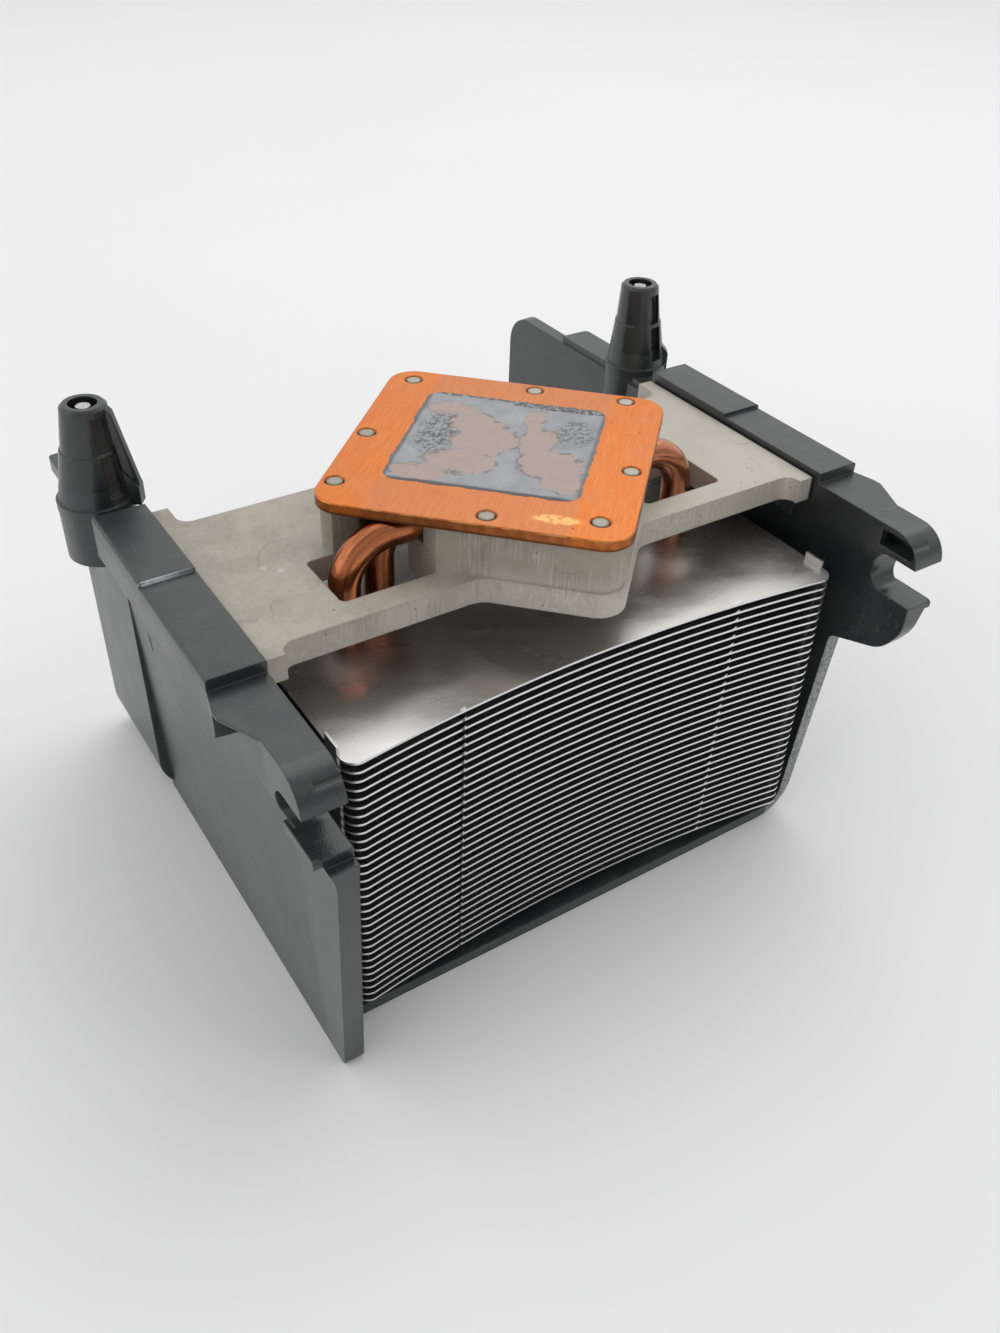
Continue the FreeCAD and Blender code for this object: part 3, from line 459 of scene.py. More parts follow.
def casting_finish(colours):
    """Rough grey die casting: stains, painted light on the right and on front faces, painted shade on
    the pedestal's sides, tool marks, scuffed front edges, scratches, drops and pits.
    """
    f = Finish("grey_casting")
    stain = f.band(f.grain(9, 4, rough=0.6), 0.40, 0.66)
    mottle = f.band(f.grain(0.8, 3), 0.35, 0.7)
    tone = f.mix(f.total((stain, 0.5), (mottle, 0.25)), colours.cast, colours.cast_dark)
    face = f.band(f.facing(1), -0.1, -0.5)
    # Painted light: the casting is painted paler on its right half and on its front faces low down.
    lit_share = f.either(
        f.part(f.band(f.x, -6.0, 22.0), 0.55),
        f.both(face, f.band(f.z, 71.5, 66.0), f.level(stain, 0.5, 0.3)))
    tone = f.paint(tone, lit_share, colours.cast_lit)
    # Painted shade: the pedestal's sides, and most of all its front, are painted darker.
    pedestal = f.both(
        f.band(f.z, 66.5, 72.0), f.level(face, 0.25, 0.45), f.band(f.facing(2), 0.9, 0.5))
    tone = f.paint(tone, pedestal, colours.cast_pedestal_shade)
    front = f.band(f.y, -30.9, -31.7)
    low = f.both(f.band(f.z, 63.8, 64.6), f.band(f.z, 69.3, 68.0))
    chips = f.band(f.grain(0.9, 4, f.stretched((1.6, 1.6, 0.5)), rough=0.7), 0.53, 0.64)
    scuffs = f.both(front, low, chips, f.band(f.grain(10, 2), 0.46, 0.60))
    strokes = f.grain(0.9, 2, f.stretched((2.2, 2.2, 0.18)))
    tooled = f.both(face, f.band(f.grain(6, 2), 0.44, 0.66))
    fresh = f.both(tooled, f.band(strokes, 0.53, 0.63))
    grooves = f.both(tooled, f.band(strokes, 0.45, 0.36))
    tone = f.paint(tone, grooves, colours.cast_groove, 0.26)
    worn = f.either(f.part(scuffs, 0.6), f.part(fresh, 0.32))
    tone = f.paint(tone, worn, colours.cast_worn)
    line = f.math("SUBTRACT", f.grain(14, 2, f.stretched((1, 0.6, 1))), 0.5)
    hair = f.band(f.math("ABSOLUTE", line), 0.006, 0.002)
    hair = f.both(hair, f.band(f.grain(4.5, 1), 0.55, 0.62))
    tone = f.paint(tone, hair, colours.cast_hair, 0.30)
    away = f.total((f.axis_gap((-37.0, -12.6, BEAM_TOP)), 1), (f.wander(1.5, 2), 0.7))
    flow = f.both(
        f.inside(away, 4.95, 5.1, 0.1), f.band(f.y, -13.5, -12.0), f.band(f.x, -33.0, -36.0),
        f.band(f.z, 68.0, 68.2))
    tone = f.paint(tone, flow, colours.cast_flow, 0.55)
    drops = f.either(*[
        f.spot(f.place, (x, y, BEAM_TOP), (0.55, 0.55, 1), 0.4)
        for x, y in ((-42.0, -13.6), (-39.9, -15.4))])
    tone = f.paint(tone, drops, colours.cast_worn, 0.5)
    pits = f.both(f.band(f.cells(1.9), 0.13, 0.05), f.band(f.grain(6, 2), 0.5, 0.62))
    f.set(base_color=f.paint(tone, pits, colours.cast_pit, 0.7))
    f.set(roughness=f.level(worn, 0.52, 0.36), metallic=0.25)
    relief = f.total(
        (f.grain(0.35, 3), 1), (f.grain(3.5, 2), 0.8), (pits, -1.4), (f.either(scuffs, fresh), -0.8))
    f.bump(relief, 0.06, 0.55, edge=0.35)
    return f.material


def plate_finish(colours):
    """Rubbed copper: brushed lines, paler strips, stains, a bright streak, rings of painted shade
    round the studs, darker sides, and a painted highlight with some wear along their upper edge.
    """
    f = Finish("plate_copper")
    middle = PLATE_MIDDLE / MM
    seen = f.turned(middle, PLATE_TURN)
    u, v, _ = f.apart(seen)
    brushed = f.grain(0.5, 3, f.turned(middle, PLATE_TURN, (3.0, 0.10, 1)), rough=0.6)
    ragged = f.total((u, 1), (f.wander(3.0, 3), 2.5))
    strip = f.both(f.inside(ragged, -15.5, 15.2, 0.8), f.band(f.math("ABSOLUTE", v), 12.0, 16.0))
    tone = f.paint(colours.copper, strip, colours.copper_pink, 0.75)
    tone = f.paint(tone, f.band(f.grain(7, 3), 0.42, 0.75), colours.copper_pink, 0.35)
    lines = f.band(brushed, 0.38, 0.68)
    tone = f.paint(tone, lines, colours.copper_line, 0.20)
    dull = f.band(f.grain(2.2, 4, rough=0.7), 0.60, 0.74)
    tone = f.paint(tone, dull, colours.copper_dull, 0.35)
    ruffled = f.vector("ADD", seen, f.noise(0.9, 3.0).outputs["Color"])
    streak = f.spot(ruffled, (13.2, -19.6, 0.5), (3.6, 1.15, 30), 0.25)
    streak = f.both(streak, f.band(f.grain(0.9, 3), 0.28, 0.52))
    tone = f.paint(tone, streak, colours.copper_brass)
    nicks = f.both(f.band(f.cells(3.1), 0.10, 0.05), f.band(f.grain(5, 1), 0.52, 0.6))
    tone = f.paint(tone, nicks, colours.copper_nick, 0.6)
    # Painted shade: a dark ring round each stud head, where the head meets the plate.
    for top, radius in stud_tops():
        ring = f.inside(f.axis_gap(top / MM), radius / MM - 0.1, radius / MM + 0.35, 0.25)
        tone = f.paint(tone, ring, colours.copper_stud_shade, 0.65)
    # The plate's side faces are painted darker, with noise.
    side = f.band(f.facing(2), 0.8, 0.4)
    darker_sides = f.both(side, f.level(f.band(f.grain(1.6, 3), 0.35, 0.65), 0.40, 0.75))
    tone = f.paint(tone, darker_sides, colours.copper_sides_dark)
    tone = f.paint(tone, f.both(side, f.band(f.z, 76.35, 76.0)), colours.copper_under, 0.7)
    # Painted highlight, with some edge wear: a bright band along the upper edge of the sides.
    lip = f.both(side, f.band(f.z, 77.25, 77.45), f.band(f.grain(2.4, 3), 0.42, 0.60))
    f.set(base_color=f.paint(tone, lip, colours.copper_lip, 0.8), metallic=1.0)
    f.set(roughness=f.level(f.total((lines, 0.5), (strip, 0.4)), 0.36, 0.50))
    f.bump(f.total((brushed, 0.7), (f.grain(0.3, 2), 0.3)), 0.012, 0.7, edge=0.15)
    return f.material


def pipe_finish(colours, node):
    """Drawn copper, rosier on the right, with streaks that follow the pipe round its bends."""
    f = Finish("drawn_" + node)
    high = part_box(node)[1]
    side = high.x / MM - PIPE_RADIUS - PIPE_BEND
    knee = high.z / MM - PIPE_RADIUS - PIPE_BEND
    out = f.math("MAXIMUM", f.math("SUBTRACT", f.math("ABSOLUTE", f.x), side), 0.0)
    over = f.math("MAXIMUM", f.math("SUBTRACT", f.z, knee), 0.0)
    ring = f.math("SQRT", f.math("ADD", f.both(out, out), f.both(over, over)))
    across = f.add("ShaderNodeCombineXYZ", {0: ring, 1: f.y}).outputs[0]
    slow = f.part(f.math("ADD", f.x, f.z), 0.04)
    along = f.add("ShaderNodeCombineXYZ", {0: ring, 1: f.y, 2: slow}).outputs[0]
    streak = f.grain(0.7, 3, along, rough=0.6)
    blot = f.grain(2.4, 4, rough=0.65)
    rosy = f.part(f.band(f.x, 0.0, 10.0), 0.55)
    dark = f.total((f.band(streak, 0.42, 0.62), 0.65), (f.band(blot, 0.55, 0.75), 0.4))
    dark = f.both(dark, f.level(rosy, 1.0, 0.4))
    tone = f.mix(rosy, colours.pipe, colours.pipe_rosy)
    f.set(base_color=f.paint(tone, dark, colours.pipe_dark), metallic=1.0)
    f.set(roughness=f.level(f.part(f.math("ADD", streak, blot), 0.5), 0.10, 0.34))
    f.bump(f.total((streak, 1), (f.grain(0.18, 2, across), 0.3)), 0.05, 0.6)
    return f.material


def fin_finish(colours):
    """Rolled aluminium: haze, film and specks on the top fin, bright sheared edges, painted shade on
    the lower fins and a painted shadow line beside the left tabs.
    """
    f = Finish("fin_aluminium")
    origin, wipe = (0, 0, 0), 0.5
    rolled = f.grain(0.4, 3, f.stretched((0.06, 1.6, 1.0)))
    top = f.band(f.z, TOP_FIN - 0.1, TOP_FIN + 0.1)
    cloud = f.noise(0.12, 2.5, f.turned(origin, wipe, (0.5, 1.3, 1)), bend=0.5).outputs[0]
    streaks = f.band(f.grain(1.2, 2, f.turned(origin, wipe, (0.10, 1.4, 1))), 0.35, 0.75)
    haze = f.both(top, f.band(cloud, 0.28, 0.74), f.level(streaks, 0.7, 1.0))
    specks = f.both(top, f.band(f.cells(2.2), 0.07, 0.03), f.band(f.grain(8, 1), 0.46, 0.58))
    sheared = f.band(f.math("ABSOLUTE", f.facing(2)), 0.6, 0.3)
    # Painted shade: the fins below the top one get a darker sheet, standing in for the shade in the
    # gaps between them.
    tone = f.mix(top, colours.fin_low_shaded, colours.aluminium)
    tone = f.paint(tone, haze, colours.fin_haze, 0.40)
    tone = f.paint(tone, f.band(rolled, 0.4, 0.7), colours.fin_rolled, 0.12)
    tone = f.paint(tone, specks, colours.fin_speck, 0.7)
    tone = f.paint(tone, sheared, colours.fin_edge)
    # Painted shadow: a dark line on the fins' front ends beside the left lock tabs.
    slit_shadow = f.both(
        f.inside(f.x, -26.7, -26.1, 0.12), f.band(f.y, -43.0, -44.0),
        f.band(f.z, TOP_FIN, TOP_FIN - 0.2))
    f.set(base_color=f.paint(tone, slit_shadow, colours.fin_slit_shadow, 0.75))
    ovals = ((-40.0, -34.0, 8.0, 6.0), (-31.0, -41.5, 6.0, 3.5), (41.0, -38.0, 7.0, 7.0))
    film = f.both(top, f.either(*[
        f.spot(f.place, (x, y, 57), (wide, deep, 4), 0.6) for x, y, wide, deep in ovals]))
    f.set(metallic=f.level(film, 0.97, 0.86))
    rough = f.level(f.total((haze, 0.75), (rolled, 0.25)), 0.19, 0.40)
    f.set(roughness=f.level(sheared, rough, 0.45))
    f.bump(f.part(f.grain(12, 1), 3.0), 0.06, 0.5)
    return f.material


def steel_finish(colours):
    """Plated screw steel with turning lines and rubbed spots."""
    f = Finish("screw_steel")
    rings = f.grain(0.25, 2, f.stretched((0.1, 0.1, 2.0)))
    spots = f.grain(0.8, 3)
    tone = f.paint(colours.steel, f.band(spots, 0.45, 0.7), colours.steel_rub)
    f.set(base_color=tone, metallic=1.0, roughness=f.level(spots, 0.16, 0.42))
    f.bump(f.math("ADD", rings, spots), 0.02, 0.5)
    return f.material


def paste_finish(colours):
    """Dried grey paste: smears that let copper through, pale veins, dark crumbs, ragged edges and a
    painted shadow along its lower edge.
    """
    f = Finish("dried_paste")
    seen = f.turned(PLATE_MIDDLE / MM, PLATE_TURN)
    u, v, _ = f.apart(seen)
    drift = f.noise(0.34, 4.0, seen, 0.6).outputs["Color"]
    drift = f.stretched((5.0, 5.0, 0), f.vector("SUBTRACT", drift, (0.5, 0.5, 0.5)))
    bent = f.vector("ADD", seen, drift)

    def smears(soft, *ovals):
        return f.either(*[
            f.spot(bent, (x, y, 0), (wide, high, 60), soft) for x, y, wide, high in ovals])

    left = smears(
        0.10, (-10.5, 11.0, 4.0, 2.5), (-5.5, 6.5, 4.5, 4.0), (-2.5, 1.5, 5.5, 5.0),
        (-5.0, -6.5, 6.0, 4.0), (-11.0, -11.5, 4.5, 2.6))
    right = smears(
        0.10, (3.8, 10.5, 1.8, 4.0), (5.5, 3.0, 2.8, 5.0), (9.0, -4.5, 5.0, 4.6),
        (11.5, -9.5, 3.2, 3.6))
    smear = f.either(left, right)
    thin = f.both(smear, f.level(f.grain(1.4, 3), 0.60, 1.0))
    cloud = f.band(f.grain(3.2, 4), 0.35, 0.68)
    veins = smears(0.5, (0.0, 11.0, 1.6, 4.0), (2.4, -8.5, 1.8, 5.5), (-12.5, -3.0, 2.0, 5.0))
    tone = f.mix(f.total((cloud, 0.30), (veins, 0.22)), colours.paste, colours.paste_pale)
    tone = f.paint(tone, thin, colours.paste_thin, 0.95)
    outline = f.both(smear, f.math("SUBTRACT", 1.0, smear), f.band(f.grain(2.0, 2), 0.42, 0.6))
    tone = f.paint(tone, outline, colours.paste_dark, 2.2)
    crumbly = f.grain(0.6, 3, rough=0.7)
    crumbs = f.both(f.band(crumbly, 0.47, 0.56), f.either(
        smears(0.4, (-11.0, 2.0, 3.0, 6.8)), f.part(smears(0.4, (10.6, 7.2, 3.4, 4.6)), 0.75)))
    wander = f.part(f.wander(2.2, 3), 1.2)
    thick = f.level(f.band(u, -3.0, 1.0), 15.9, 14.9)
    rise = f.math("SUBTRACT", f.math("ADD", v, wander), thick)
    top_line = f.both(f.band(rise, -0.3, 0.2), f.band(crumbly, 0.40, 0.52))
    # Painted shadow: a dark line along the paste's lower edge, the shade of its raised rim.
    low_edge_shadow = f.band(f.total((v, 1), (wander, 0.4)), -13.7, -14.3)
    left_line = f.band(f.total((u, 1), (wander, 0.4)), -14.9, -15.4)
    right_line = f.band(f.total((u, 1), (wander, 0.6)), 14.2, 14.8)
    dark = f.either(
        f.part(crumbs, 0.85), f.part(top_line, 0.9), f.part(low_edge_shadow, 0.85),
        f.part(left_line, 0.7), f.part(right_line, 0.55))
    f.set(base_color=f.paint(tone, dark, colours.paste_dark))
    f.set(roughness=f.level(thin, 0.62, 0.46))
    f.bump(f.total((f.grain(0.45, 3), 1), (thin, -0.8), (dark, -0.9)), 0.05, 0.6)
    return f.material


def paste_mesh(sizes):
    """Film with an uneven rounded-square outline, a raised rim and a flat underside, on the plate."""
    across, along = sizes.paste_width / MM / 2, sizes.paste_length / MM / 2
    corner, wobble = sizes.paste_corner / MM, sizes.paste_wobble / MM
    thick, shift, side_shift = sizes.paste_thick / MM, sizes.paste_shift / MM, -0.4
    steps, rings = 420, 44
    rim_wide, ridge_in, ridge_wide, ridge_high = 0.18, 0.9, 0.8, 0.5
    lump_size, lump_high, film_share, least_share = 1.6, 0.22, 0.45, 0.12
    rim_lift = 0.012 * MM

    def reach(angle):
        c, s = math.cos(angle), math.sin(angle)
        straight = min(across / max(abs(c), 1e-9), along / max(abs(s), 1e-9))
        inner = Vector((across - corner, along - corner))
        far = Vector((abs(c), abs(s)))
        if abs(c) * straight > inner.x and abs(s) * straight > inner.y:
            half = far.dot(inner)
            beyond = half * half - inner.length_squared + corner * corner
            straight = half + math.sqrt(max(beyond, 0))
        rough = noise.fractal(Vector((c * 7, s * 7, 3.0)), 0.9, 2.2, 4)
        return straight + wobble * (rough - 0.15)

    def height(place, inward):
        rim = 1 - math.exp(-inward / rim_wide)
        ridge = ridge_high * math.exp(-((inward - ridge_in) / ridge_wide) ** 2)
        lumps = lump_high * noise.noise(Vector((place.x / lump_size, place.y / lump_size, 7.0)))
        return thick * rim * max(film_share + ridge + lumps, least_share)

    mesh = bmesh.new()
    turn = Matrix.Rotation(-PLATE_TURN, 3, "Z")
    middle_x, middle_y = PLATE_MIDDLE.x / MM, PLATE_MIDDLE.y / MM
    floor = PLATE_HIGH.z / MM

    def vertex(place, up):
        flat = turn @ Vector((place.x + side_shift, place.y + shift, 0))
        return mesh.verts.new(Vector((flat.x + middle_x, flat.y + middle_y, floor + up)) * MM)

    angles = [2 * math.pi * i / steps for i in range(steps)]
    spokes = [(Vector((math.cos(a), math.sin(a))), reach(a)) for a in angles]
    shares = [math.sin(math.pi / 2 * (k + 1) / rings) ** 0.8 for k in range(rings)]
    shares[-1] = 1.0
    middle = vertex(Vector((0, 0)), height(Vector((0, 0)), across))
    loops = []
    for share in shares:
        loops.append([
            vertex(w * e * share, height(w * e * share, e * (1 - share))) for w, e in spokes])
    under = [vertex(w * e, 0) for w, e in spokes]
    for v in loops[-1]:
        v.co.z += rim_lift
    for i in range(steps):
        j = (i + 1) % steps
        mesh.faces.new((middle, loops[0][i], loops[0][j]))
        for inner, outer in zip(loops, loops[1:]):
            mesh.faces.new((inner[i], outer[i], outer[j], inner[j]))
        mesh.faces.new((loops[-1][i], under[i], under[j], loops[-1][j]))
    mesh.faces.new(list(reversed(under)))
    bmesh.ops.recalc_face_normals(mesh, faces=mesh.faces)
    film = finished_mesh("thermal_paste", mesh)
    film.polygons.foreach_set("use_smooth", [True] * len(film.polygons))
    return film


def stud_tops():
    """Centres and radii of the casting's stud tops, found on the bare model."""
    found = []
    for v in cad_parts["bracket"].data.vertices:
        if v.co.z < STUD_TOP - 1e-6:
            continue
        near = [group for group in found if (group[0] - v.co).length < STUD_APART * MM]
        if near:
            near[0].append(v.co.copy())
        else:
            found.append([v.co.copy()])
    tops = []
    for group in found:
        low = Vector([min(p[k] for p in group) for k in range(3)])
        high = Vector([max(p[k] for p in group) for k in range(3)])
        tops.append(((low + high) / 2, (high.x - low.x) / 2))
    return tops


class NodeTree(Nodes):
    """Geometry node tree with named inputs, set on a modifier by identifier."""

    def __init__(self, name):
        super().__init__(bpy.data.node_groups.new(name, "GeometryNodeTree"))
        for way in ("INPUT", "OUTPUT"):
            self.tree.interface.new_socket(
                "Geometry", in_out=way, socket_type="NodeSocketGeometry")
        self.start = self.add("NodeGroupInput")
        self.end = self.add("NodeGroupOutput")
        self.values = {}

    def size(self, name, value):
        """Named input of the tree, and its socket inside it."""
        socket = self.tree.interface.new_socket(
            name, in_out="INPUT", socket_type="NodeSocketFloat")
        self.values[socket.identifier] = value
        return self.start.outputs[name]

    def on_points(self, shape, **inputs):
        """The shape on each point that the tree is given."""
        return self.add("GeometryNodeInstanceOnPoints", {
            "Points": self.start.outputs[0], "Instance": shape, **inputs}).outputs[0]

    def finish(self, geometry, material):
        """Ends the tree: real geometry in one material."""
        real = self.add("GeometryNodeRealizeInstances", {0: geometry}).outputs[0]
        smooth = self.add("GeometryNodeSetShadeSmooth", {0: real}).outputs[0]
        painted = self.add("GeometryNodeSetMaterial", {0: smooth, "Material": material})
        self.feed(self.end.inputs[0], painted.outputs[0])

    def baked(self, name, places):
        """Plain mesh that the tree makes from loose points."""
        dots = bpy.data.meshes.new(name + "_places")
        dots.from_pydata([tuple(p) for p in places], [], [])
        carrier = bpy.data.objects.new(name + "_carrier", dots)
        bpy.context.scene.collection.objects.link(carrier)
        modifier = carrier.modifiers.new("Nodes", "NODES")
        modifier.node_group = self.tree
        for identifier, value in self.values.items():
            modifier[identifier] = value
        graph = bpy.context.evaluated_depsgraph_get()
        made = bpy.data.meshes.new_from_object(carrier.evaluated_get(graph), depsgraph=graph)
        made.name = name
        bpy.data.objects.remove(carrier)
        if not made.polygons:
            raise RuntimeError("the node tree made nothing for " + name)
        return made


def stud_head_tree(radius, crown, material):
    """Peened crowns, one on each point, each turned and dented a little differently."""
    nodes = NodeTree("peened_studs")
    wide = nodes.size("Radius", radius)
    high = nodes.size("Crown", crown)
    ball = nodes.add(
        "GeometryNodeMeshUVSphere", {"Segments": 28, "Rings": 14, "Radius": 1.0}).outputs[0]
    spread = nodes.add("ShaderNodeCombineXYZ", {0: wide, 1: wide, 2: high}).outputs[0]
    dome = nodes.add("GeometryNodeTransform", {"Geometry": ball, "Scale": spread}).outputs[0]
    turn = nodes.add(
        "FunctionNodeRandomValue", {"Min": 0.0, "Max": 6.28, "Seed": 5}, data_type="FLOAT")
    turn = next(s for s in turn.outputs if s.enabled)
    turn = nodes.add("ShaderNodeCombineXYZ", {2: turn}).outputs[0]
    studs = nodes.on_points(dome, Rotation=turn)
    real = nodes.add("GeometryNodeRealizeInstances", {0: studs}).outputs[0]
    dents = nodes.add("ShaderNodeTexNoise", {"Scale": 1400.0, "Detail": 3.0}).outputs[0]
    dents = nodes.math("MULTIPLY", nodes.math("SUBTRACT", dents, 0.5), high)
    lift = nodes.add("ShaderNodeCombineXYZ", {2: dents}).outputs[0]
    bumpy = nodes.add("GeometryNodeSetPosition", {"Geometry": real, "Offset": lift}).outputs[0]
    nodes.finish(bumpy, material)
    return nodes


def thread_tree(radius, ridge, pitch, start, turns, material):
    """Helical ridge round a screw, from points that mark its axis."""
    nodes = NodeTree("screw_thread")
    r = nodes.size("Radius", radius)
    tall = nodes.size("Ridge", ridge)
    rise = nodes.size("Pitch", pitch)
    count = nodes.size("Turns", turns)
    spiral = nodes.add("GeometryNodeCurveSpiral", {
        "Resolution": 26, "Rotations": count, "Start Radius": r, "End Radius": r,
        "Height": nodes.math("MULTIPLY", rise, count)}).outputs[0]
    section = nodes.add(
        "GeometryNodeCurvePrimitiveCircle", {"Resolution": 6, "Radius": tall}).outputs[0]
    sweep = nodes.add("GeometryNodeCurveToMesh", {
        "Curve": spiral, "Profile Curve": section, "Fill Caps": True}).outputs[0]
    raised = nodes.add("ShaderNodeCombineXYZ", {2: nodes.size("Start", start)}).outputs[0]
    placed = nodes.add(
        "GeometryNodeTransform", {"Geometry": sweep, "Translation": raised}).outputs[0]
    nodes.finish(nodes.on_points(placed), material)
    return nodes


class HEATSINK_OT_shroud(bpy.types.Operator):
    """Finish the plastic shroud and add the web of its left post"""
    bl_idname = "heatsink.shroud"
    bl_label = "Shroud"

    def execute(self, context):
        plastic = plastic_finish(context.scene.heatsink_colours)
        dress("shroud", plastic)
        web = web_mesh(context.scene.heatsink_sizes)
        web.materials.append(plastic)
        added("left_post_web", web, "heatsink")
        return {"FINISHED"}


class HEATSINK_OT_bracket(bpy.types.Operator):
    """Finish the casting and add the peened heads of its studs"""
    bl_idname = "heatsink.bracket"
    bl_label = "Bracket and studs"

    def execute(self, context):
        sizes = context.scene.heatsink_sizes
        casting = casting_finish(context.scene.heatsink_colours)
        dress("bracket", casting)
        tops = stud_tops()
        if not tops:
            raise RuntimeError("no stud tops on the bracket")
        tree = stud_head_tree(tops[0][1] * HEAD_SHARE, sizes.stud_crown, casting)
        heads = tree.baked("stud_heads", [top for top, _ in tops])
        added("stud_heads", heads, "heatsink")
        return {"FINISHED"}


class HEATSINK_OT_plate(bpy.types.Operator):
    """Finish the copper contact plate"""
    bl_idname = "heatsink.plate"
    bl_label = "Contact plate"

    def execute(self, context):
        dress("base_plate", plate_finish(context.scene.heatsink_colours))
        return {"FINISHED"}


class HEATSINK_OT_paste(bpy.types.Operator):
    """Spread the dried paste on the contact plate"""
    bl_idname = "heatsink.paste"
    bl_label = "Thermal paste"

    def execute(self, context):
        film = paste_mesh(context.scene.heatsink_sizes)
        film.materials.append(paste_finish(context.scene.heatsink_colours))
        added("thermal_paste", film, "heatsink")
        return {"FINISHED"}


class HEATSINK_OT_pipes(bpy.types.Operator):
    """Finish both heat pipes"""
    bl_idname = "heatsink.pipes"
    bl_label = "Heat pipes"

    def execute(self, context):
        for node in ("heat_pipe_outer", "heat_pipe_inner"):
            dress(node, pipe_finish(context.scene.heatsink_colours, node))
        return {"FINISHED"}


class HEATSINK_OT_fins(bpy.types.Operator):
    """Finish the stack of fins"""
    bl_idname = "heatsink.fins"
    bl_label = "Fins"

    def execute(self, context):
        sheet = fin_finish(context.scene.heatsink_colours)
        for node in FINS:
            dress(node, sheet)
        return {"FINISHED"}


class HEATSINK_OT_screws(bpy.types.Operator):
    """Finish the captive screws and add their threads"""
    bl_idname = "heatsink.screws"
    bl_label = "Captive screws"

    def execute(self, context):
        sizes = context.scene.heatsink_sizes
        steel = steel_finish(context.scene.heatsink_colours)
        for body, node in SCREWS.items():
            dress(node, steel)
            low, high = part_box(node)
            middle = (low + high) / 2
            corners = [v.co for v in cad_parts[node].data.vertices]
            radius = max(p.x for p in corners if p.z > high.z - SHANK_LONG) - middle.x
            start, end = high.z - THREAD_FROM, high.z - THREAD_TO
            turns = (end - start) / sizes.thread_pitch
            tree = thread_tree(
                radius - THREAD_SINK, sizes.thread_height, sizes.thread_pitch, start, turns, steel)
            thread = tree.baked(node + "_thread", [(middle.x, middle.y, 0)])
            added(node + "_thread", thread, body)
        return {"FINISHED"}


class HEATSINK_OT_stage(bpy.types.Operator):
    """Lay the floor, hang the lights and place the camera"""
    bl_idname = "heatsink.stage"
    bl_label = "Stage"

    def execute(self, context):
        settings = context.scene.heatsink_stage
        context.scene.view_settings.view_transform = "Standard"
        lay_floor(settings)
        light_world(settings)
        for name, place, size, setting in LIGHTS:
            soft_light(name, place, size, getattr(settings, setting))
        place_camera(settings)
        return {"FINISHED"}


def lay_floor(settings):
    """Wide paper floor with faint unevenness."""
    mesh = bpy.data.meshes.new("paper_floor")
    corners = ((-1, -1), (1, -1), (1, 1), (-1, 1))
    mesh.from_pydata([(x * FLOOR_HALF, y * FLOOR_HALF, 0) for x, y in corners], [], [(0, 1, 2, 3)])
    f = Finish("paper")
    shade = f.band(f.grain(160, 3), 0.3, 0.75)
    darker = [c * 0.975 for c in settings.floor]
    f.set(base_color=f.paint(settings.floor, shade, darker, 0.5), roughness=0.85)
    f.bump(f.grain(1.5, 2), 0.05, 0.15)
    mesh.materials.append(f.material)
    floor = bpy.data.objects.new("paper_floor", mesh)
    floor.location.z = CAD_LOW.z - FLOOR_GAP
    bpy.context.scene.collection.objects.link(floor)


def light_world(settings):
    """Soft white light all round, weaker from the front."""
    world = bpy.data.worlds.new("white_room")
    world.use_nodes = True
    nodes = Nodes(world.node_tree)
    way = nodes.add("ShaderNodeTexCoord").outputs["Generated"]
    back = nodes.add("ShaderNodeSeparateXYZ", {0: way}).outputs[1]
    amount = nodes.add("ShaderNodeMapRange", {
        "Value": back, "From Min": -0.85, "From Max": 0.45,
        "To Min": settings.sky_front, "To Max": settings.sky}, interpolation_type="SMOOTHSTEP")
    sky = world.node_tree.nodes["Background"]
    nodes.feed(sky.inputs["Strength"], amount.outputs[0])
    nodes.feed(sky.inputs["Color"], (1.0, 1.0, 1.0))
    bpy.context.scene.world = world


def soft_light(name, place, size, power):
    """Square soft light that looks at the heatsink."""
    lamp = bpy.data.lights.new(name, "AREA")
    lamp.size = size
    lamp.energy = power
    holder = bpy.data.objects.new(name, lamp)
    holder.location = place
    holder.rotation_mode = "QUATERNION"
    holder.rotation_quaternion = (LIGHT_AIM - holder.location).to_track_quat("-Z", "Y")
    bpy.context.scene.collection.objects.link(holder)


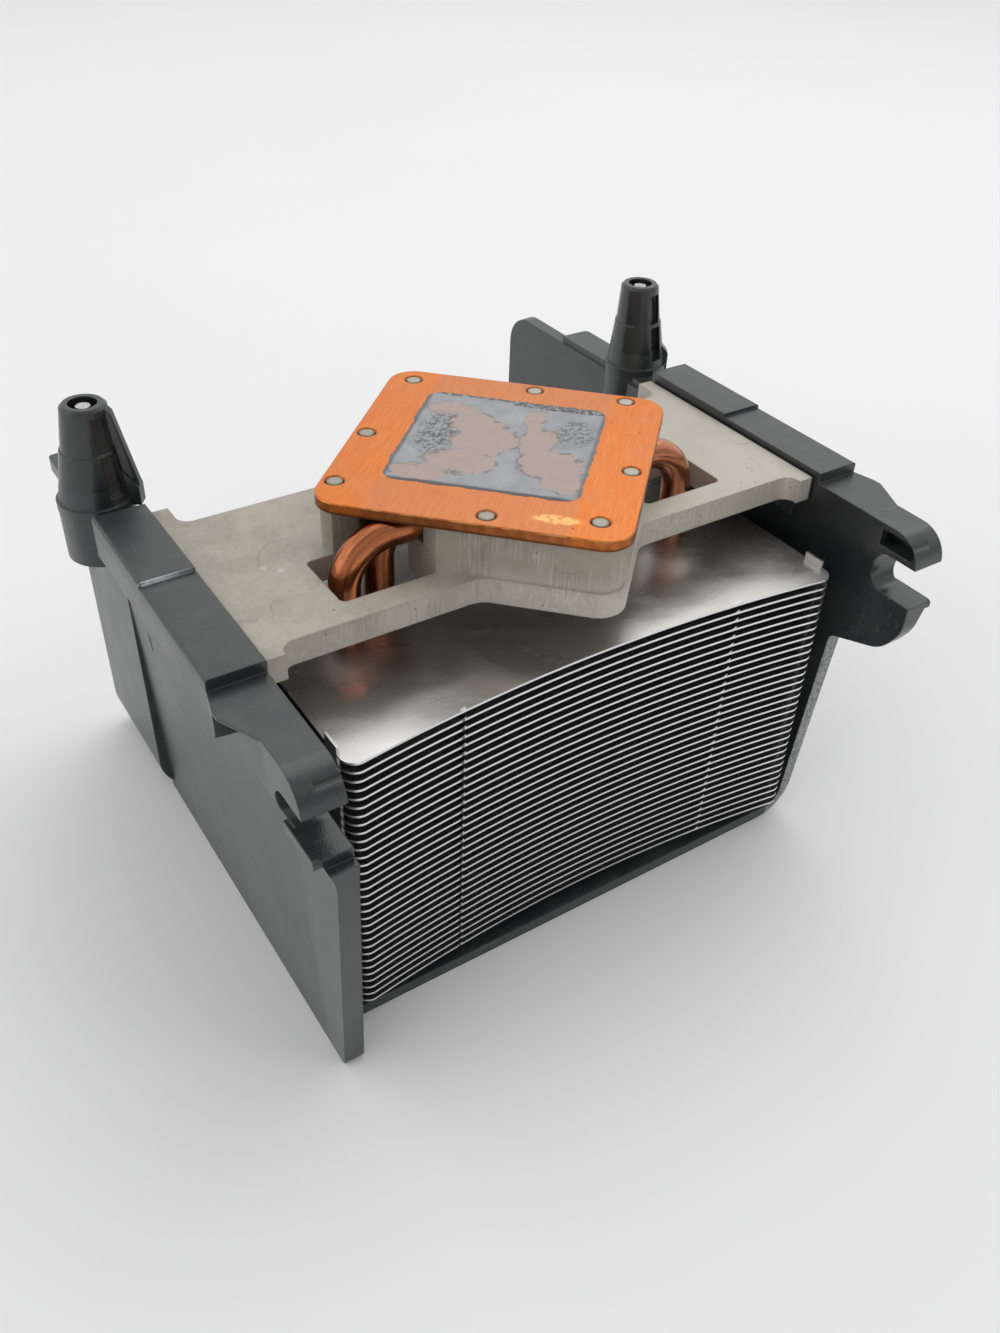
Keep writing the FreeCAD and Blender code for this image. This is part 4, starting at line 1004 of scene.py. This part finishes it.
def place_camera(settings):
    """Camera as the photograph was taken: from the front left, above, held a little askew."""
    forward = CAMERA_FORWARD.normalized()
    up = CAMERA_RIGHT.normalized().cross(forward).normalized()
    right = forward.cross(up)
    lens = bpy.data.cameras.new("photo_camera")
    lens.sensor_fit = "HORIZONTAL"
    lens.sensor_width = 36.0
    lens.lens = settings.lens
    lens.clip_start = 0.01
    lens.clip_end = 50.0
    camera = bpy.data.objects.new("photo_camera", lens)
    turn = Matrix((right, up, -forward)).transposed().to_4x4()
    camera.matrix_world = Matrix.Translation(CAMERA_PLACE) @ turn
    bpy.context.scene.collection.objects.link(camera)
    bpy.context.scene.camera = camera


OPERATORS = (
    HEATSINK_OT_shroud, HEATSINK_OT_bracket, HEATSINK_OT_plate, HEATSINK_OT_paste,
    HEATSINK_OT_pipes, HEATSINK_OT_fins, HEATSINK_OT_screws, HEATSINK_OT_stage,
)


class HEATSINK_PT_panel(bpy.types.Panel):
    """Sizes, colours and pieces of the heatsink"""
    bl_idname = "HEATSINK_PT_panel"
    bl_label = "Heatsink"
    bl_space_type = "VIEW_3D"
    bl_region_type = "UI"
    bl_category = "Heatsink"

    def draw(self, context):
        scene = context.scene
        for group in (scene.heatsink_sizes, scene.heatsink_colours, scene.heatsink_stage):
            column = self.layout.column(align=True)
            for key in group.__annotations__:
                column.prop(group, key)
        for operator in OPERATORS:
            self.layout.operator(operator.bl_idname)


CLASSES = (HeatsinkSizes, HeatsinkColours, HeatsinkStage) + OPERATORS + (HEATSINK_PT_panel,)


def register():
    """Registers the classes and hangs the properties on the scene."""
    for item in CLASSES:
        bpy.utils.register_class(item)
    bpy.types.Scene.heatsink_sizes = bpy.props.PointerProperty(type=HeatsinkSizes)
    bpy.types.Scene.heatsink_colours = bpy.props.PointerProperty(type=HeatsinkColours)
    bpy.types.Scene.heatsink_stage = bpy.props.PointerProperty(type=HeatsinkStage)


def unregister():
    """Takes the properties and classes away again."""
    del bpy.types.Scene.heatsink_stage
    del bpy.types.Scene.heatsink_colours
    del bpy.types.Scene.heatsink_sizes
    for item in reversed(CLASSES):
        bpy.utils.unregister_class(item)


def main():
    """Builds everything in order."""
    register()
    bpy.ops.heatsink.shroud()
    bpy.ops.heatsink.bracket()
    bpy.ops.heatsink.plate()
    bpy.ops.heatsink.paste()
    bpy.ops.heatsink.pipes()
    bpy.ops.heatsink.fins()
    bpy.ops.heatsink.screws()
    bpy.ops.heatsink.stage()


if __name__ == "__main__":
    main()
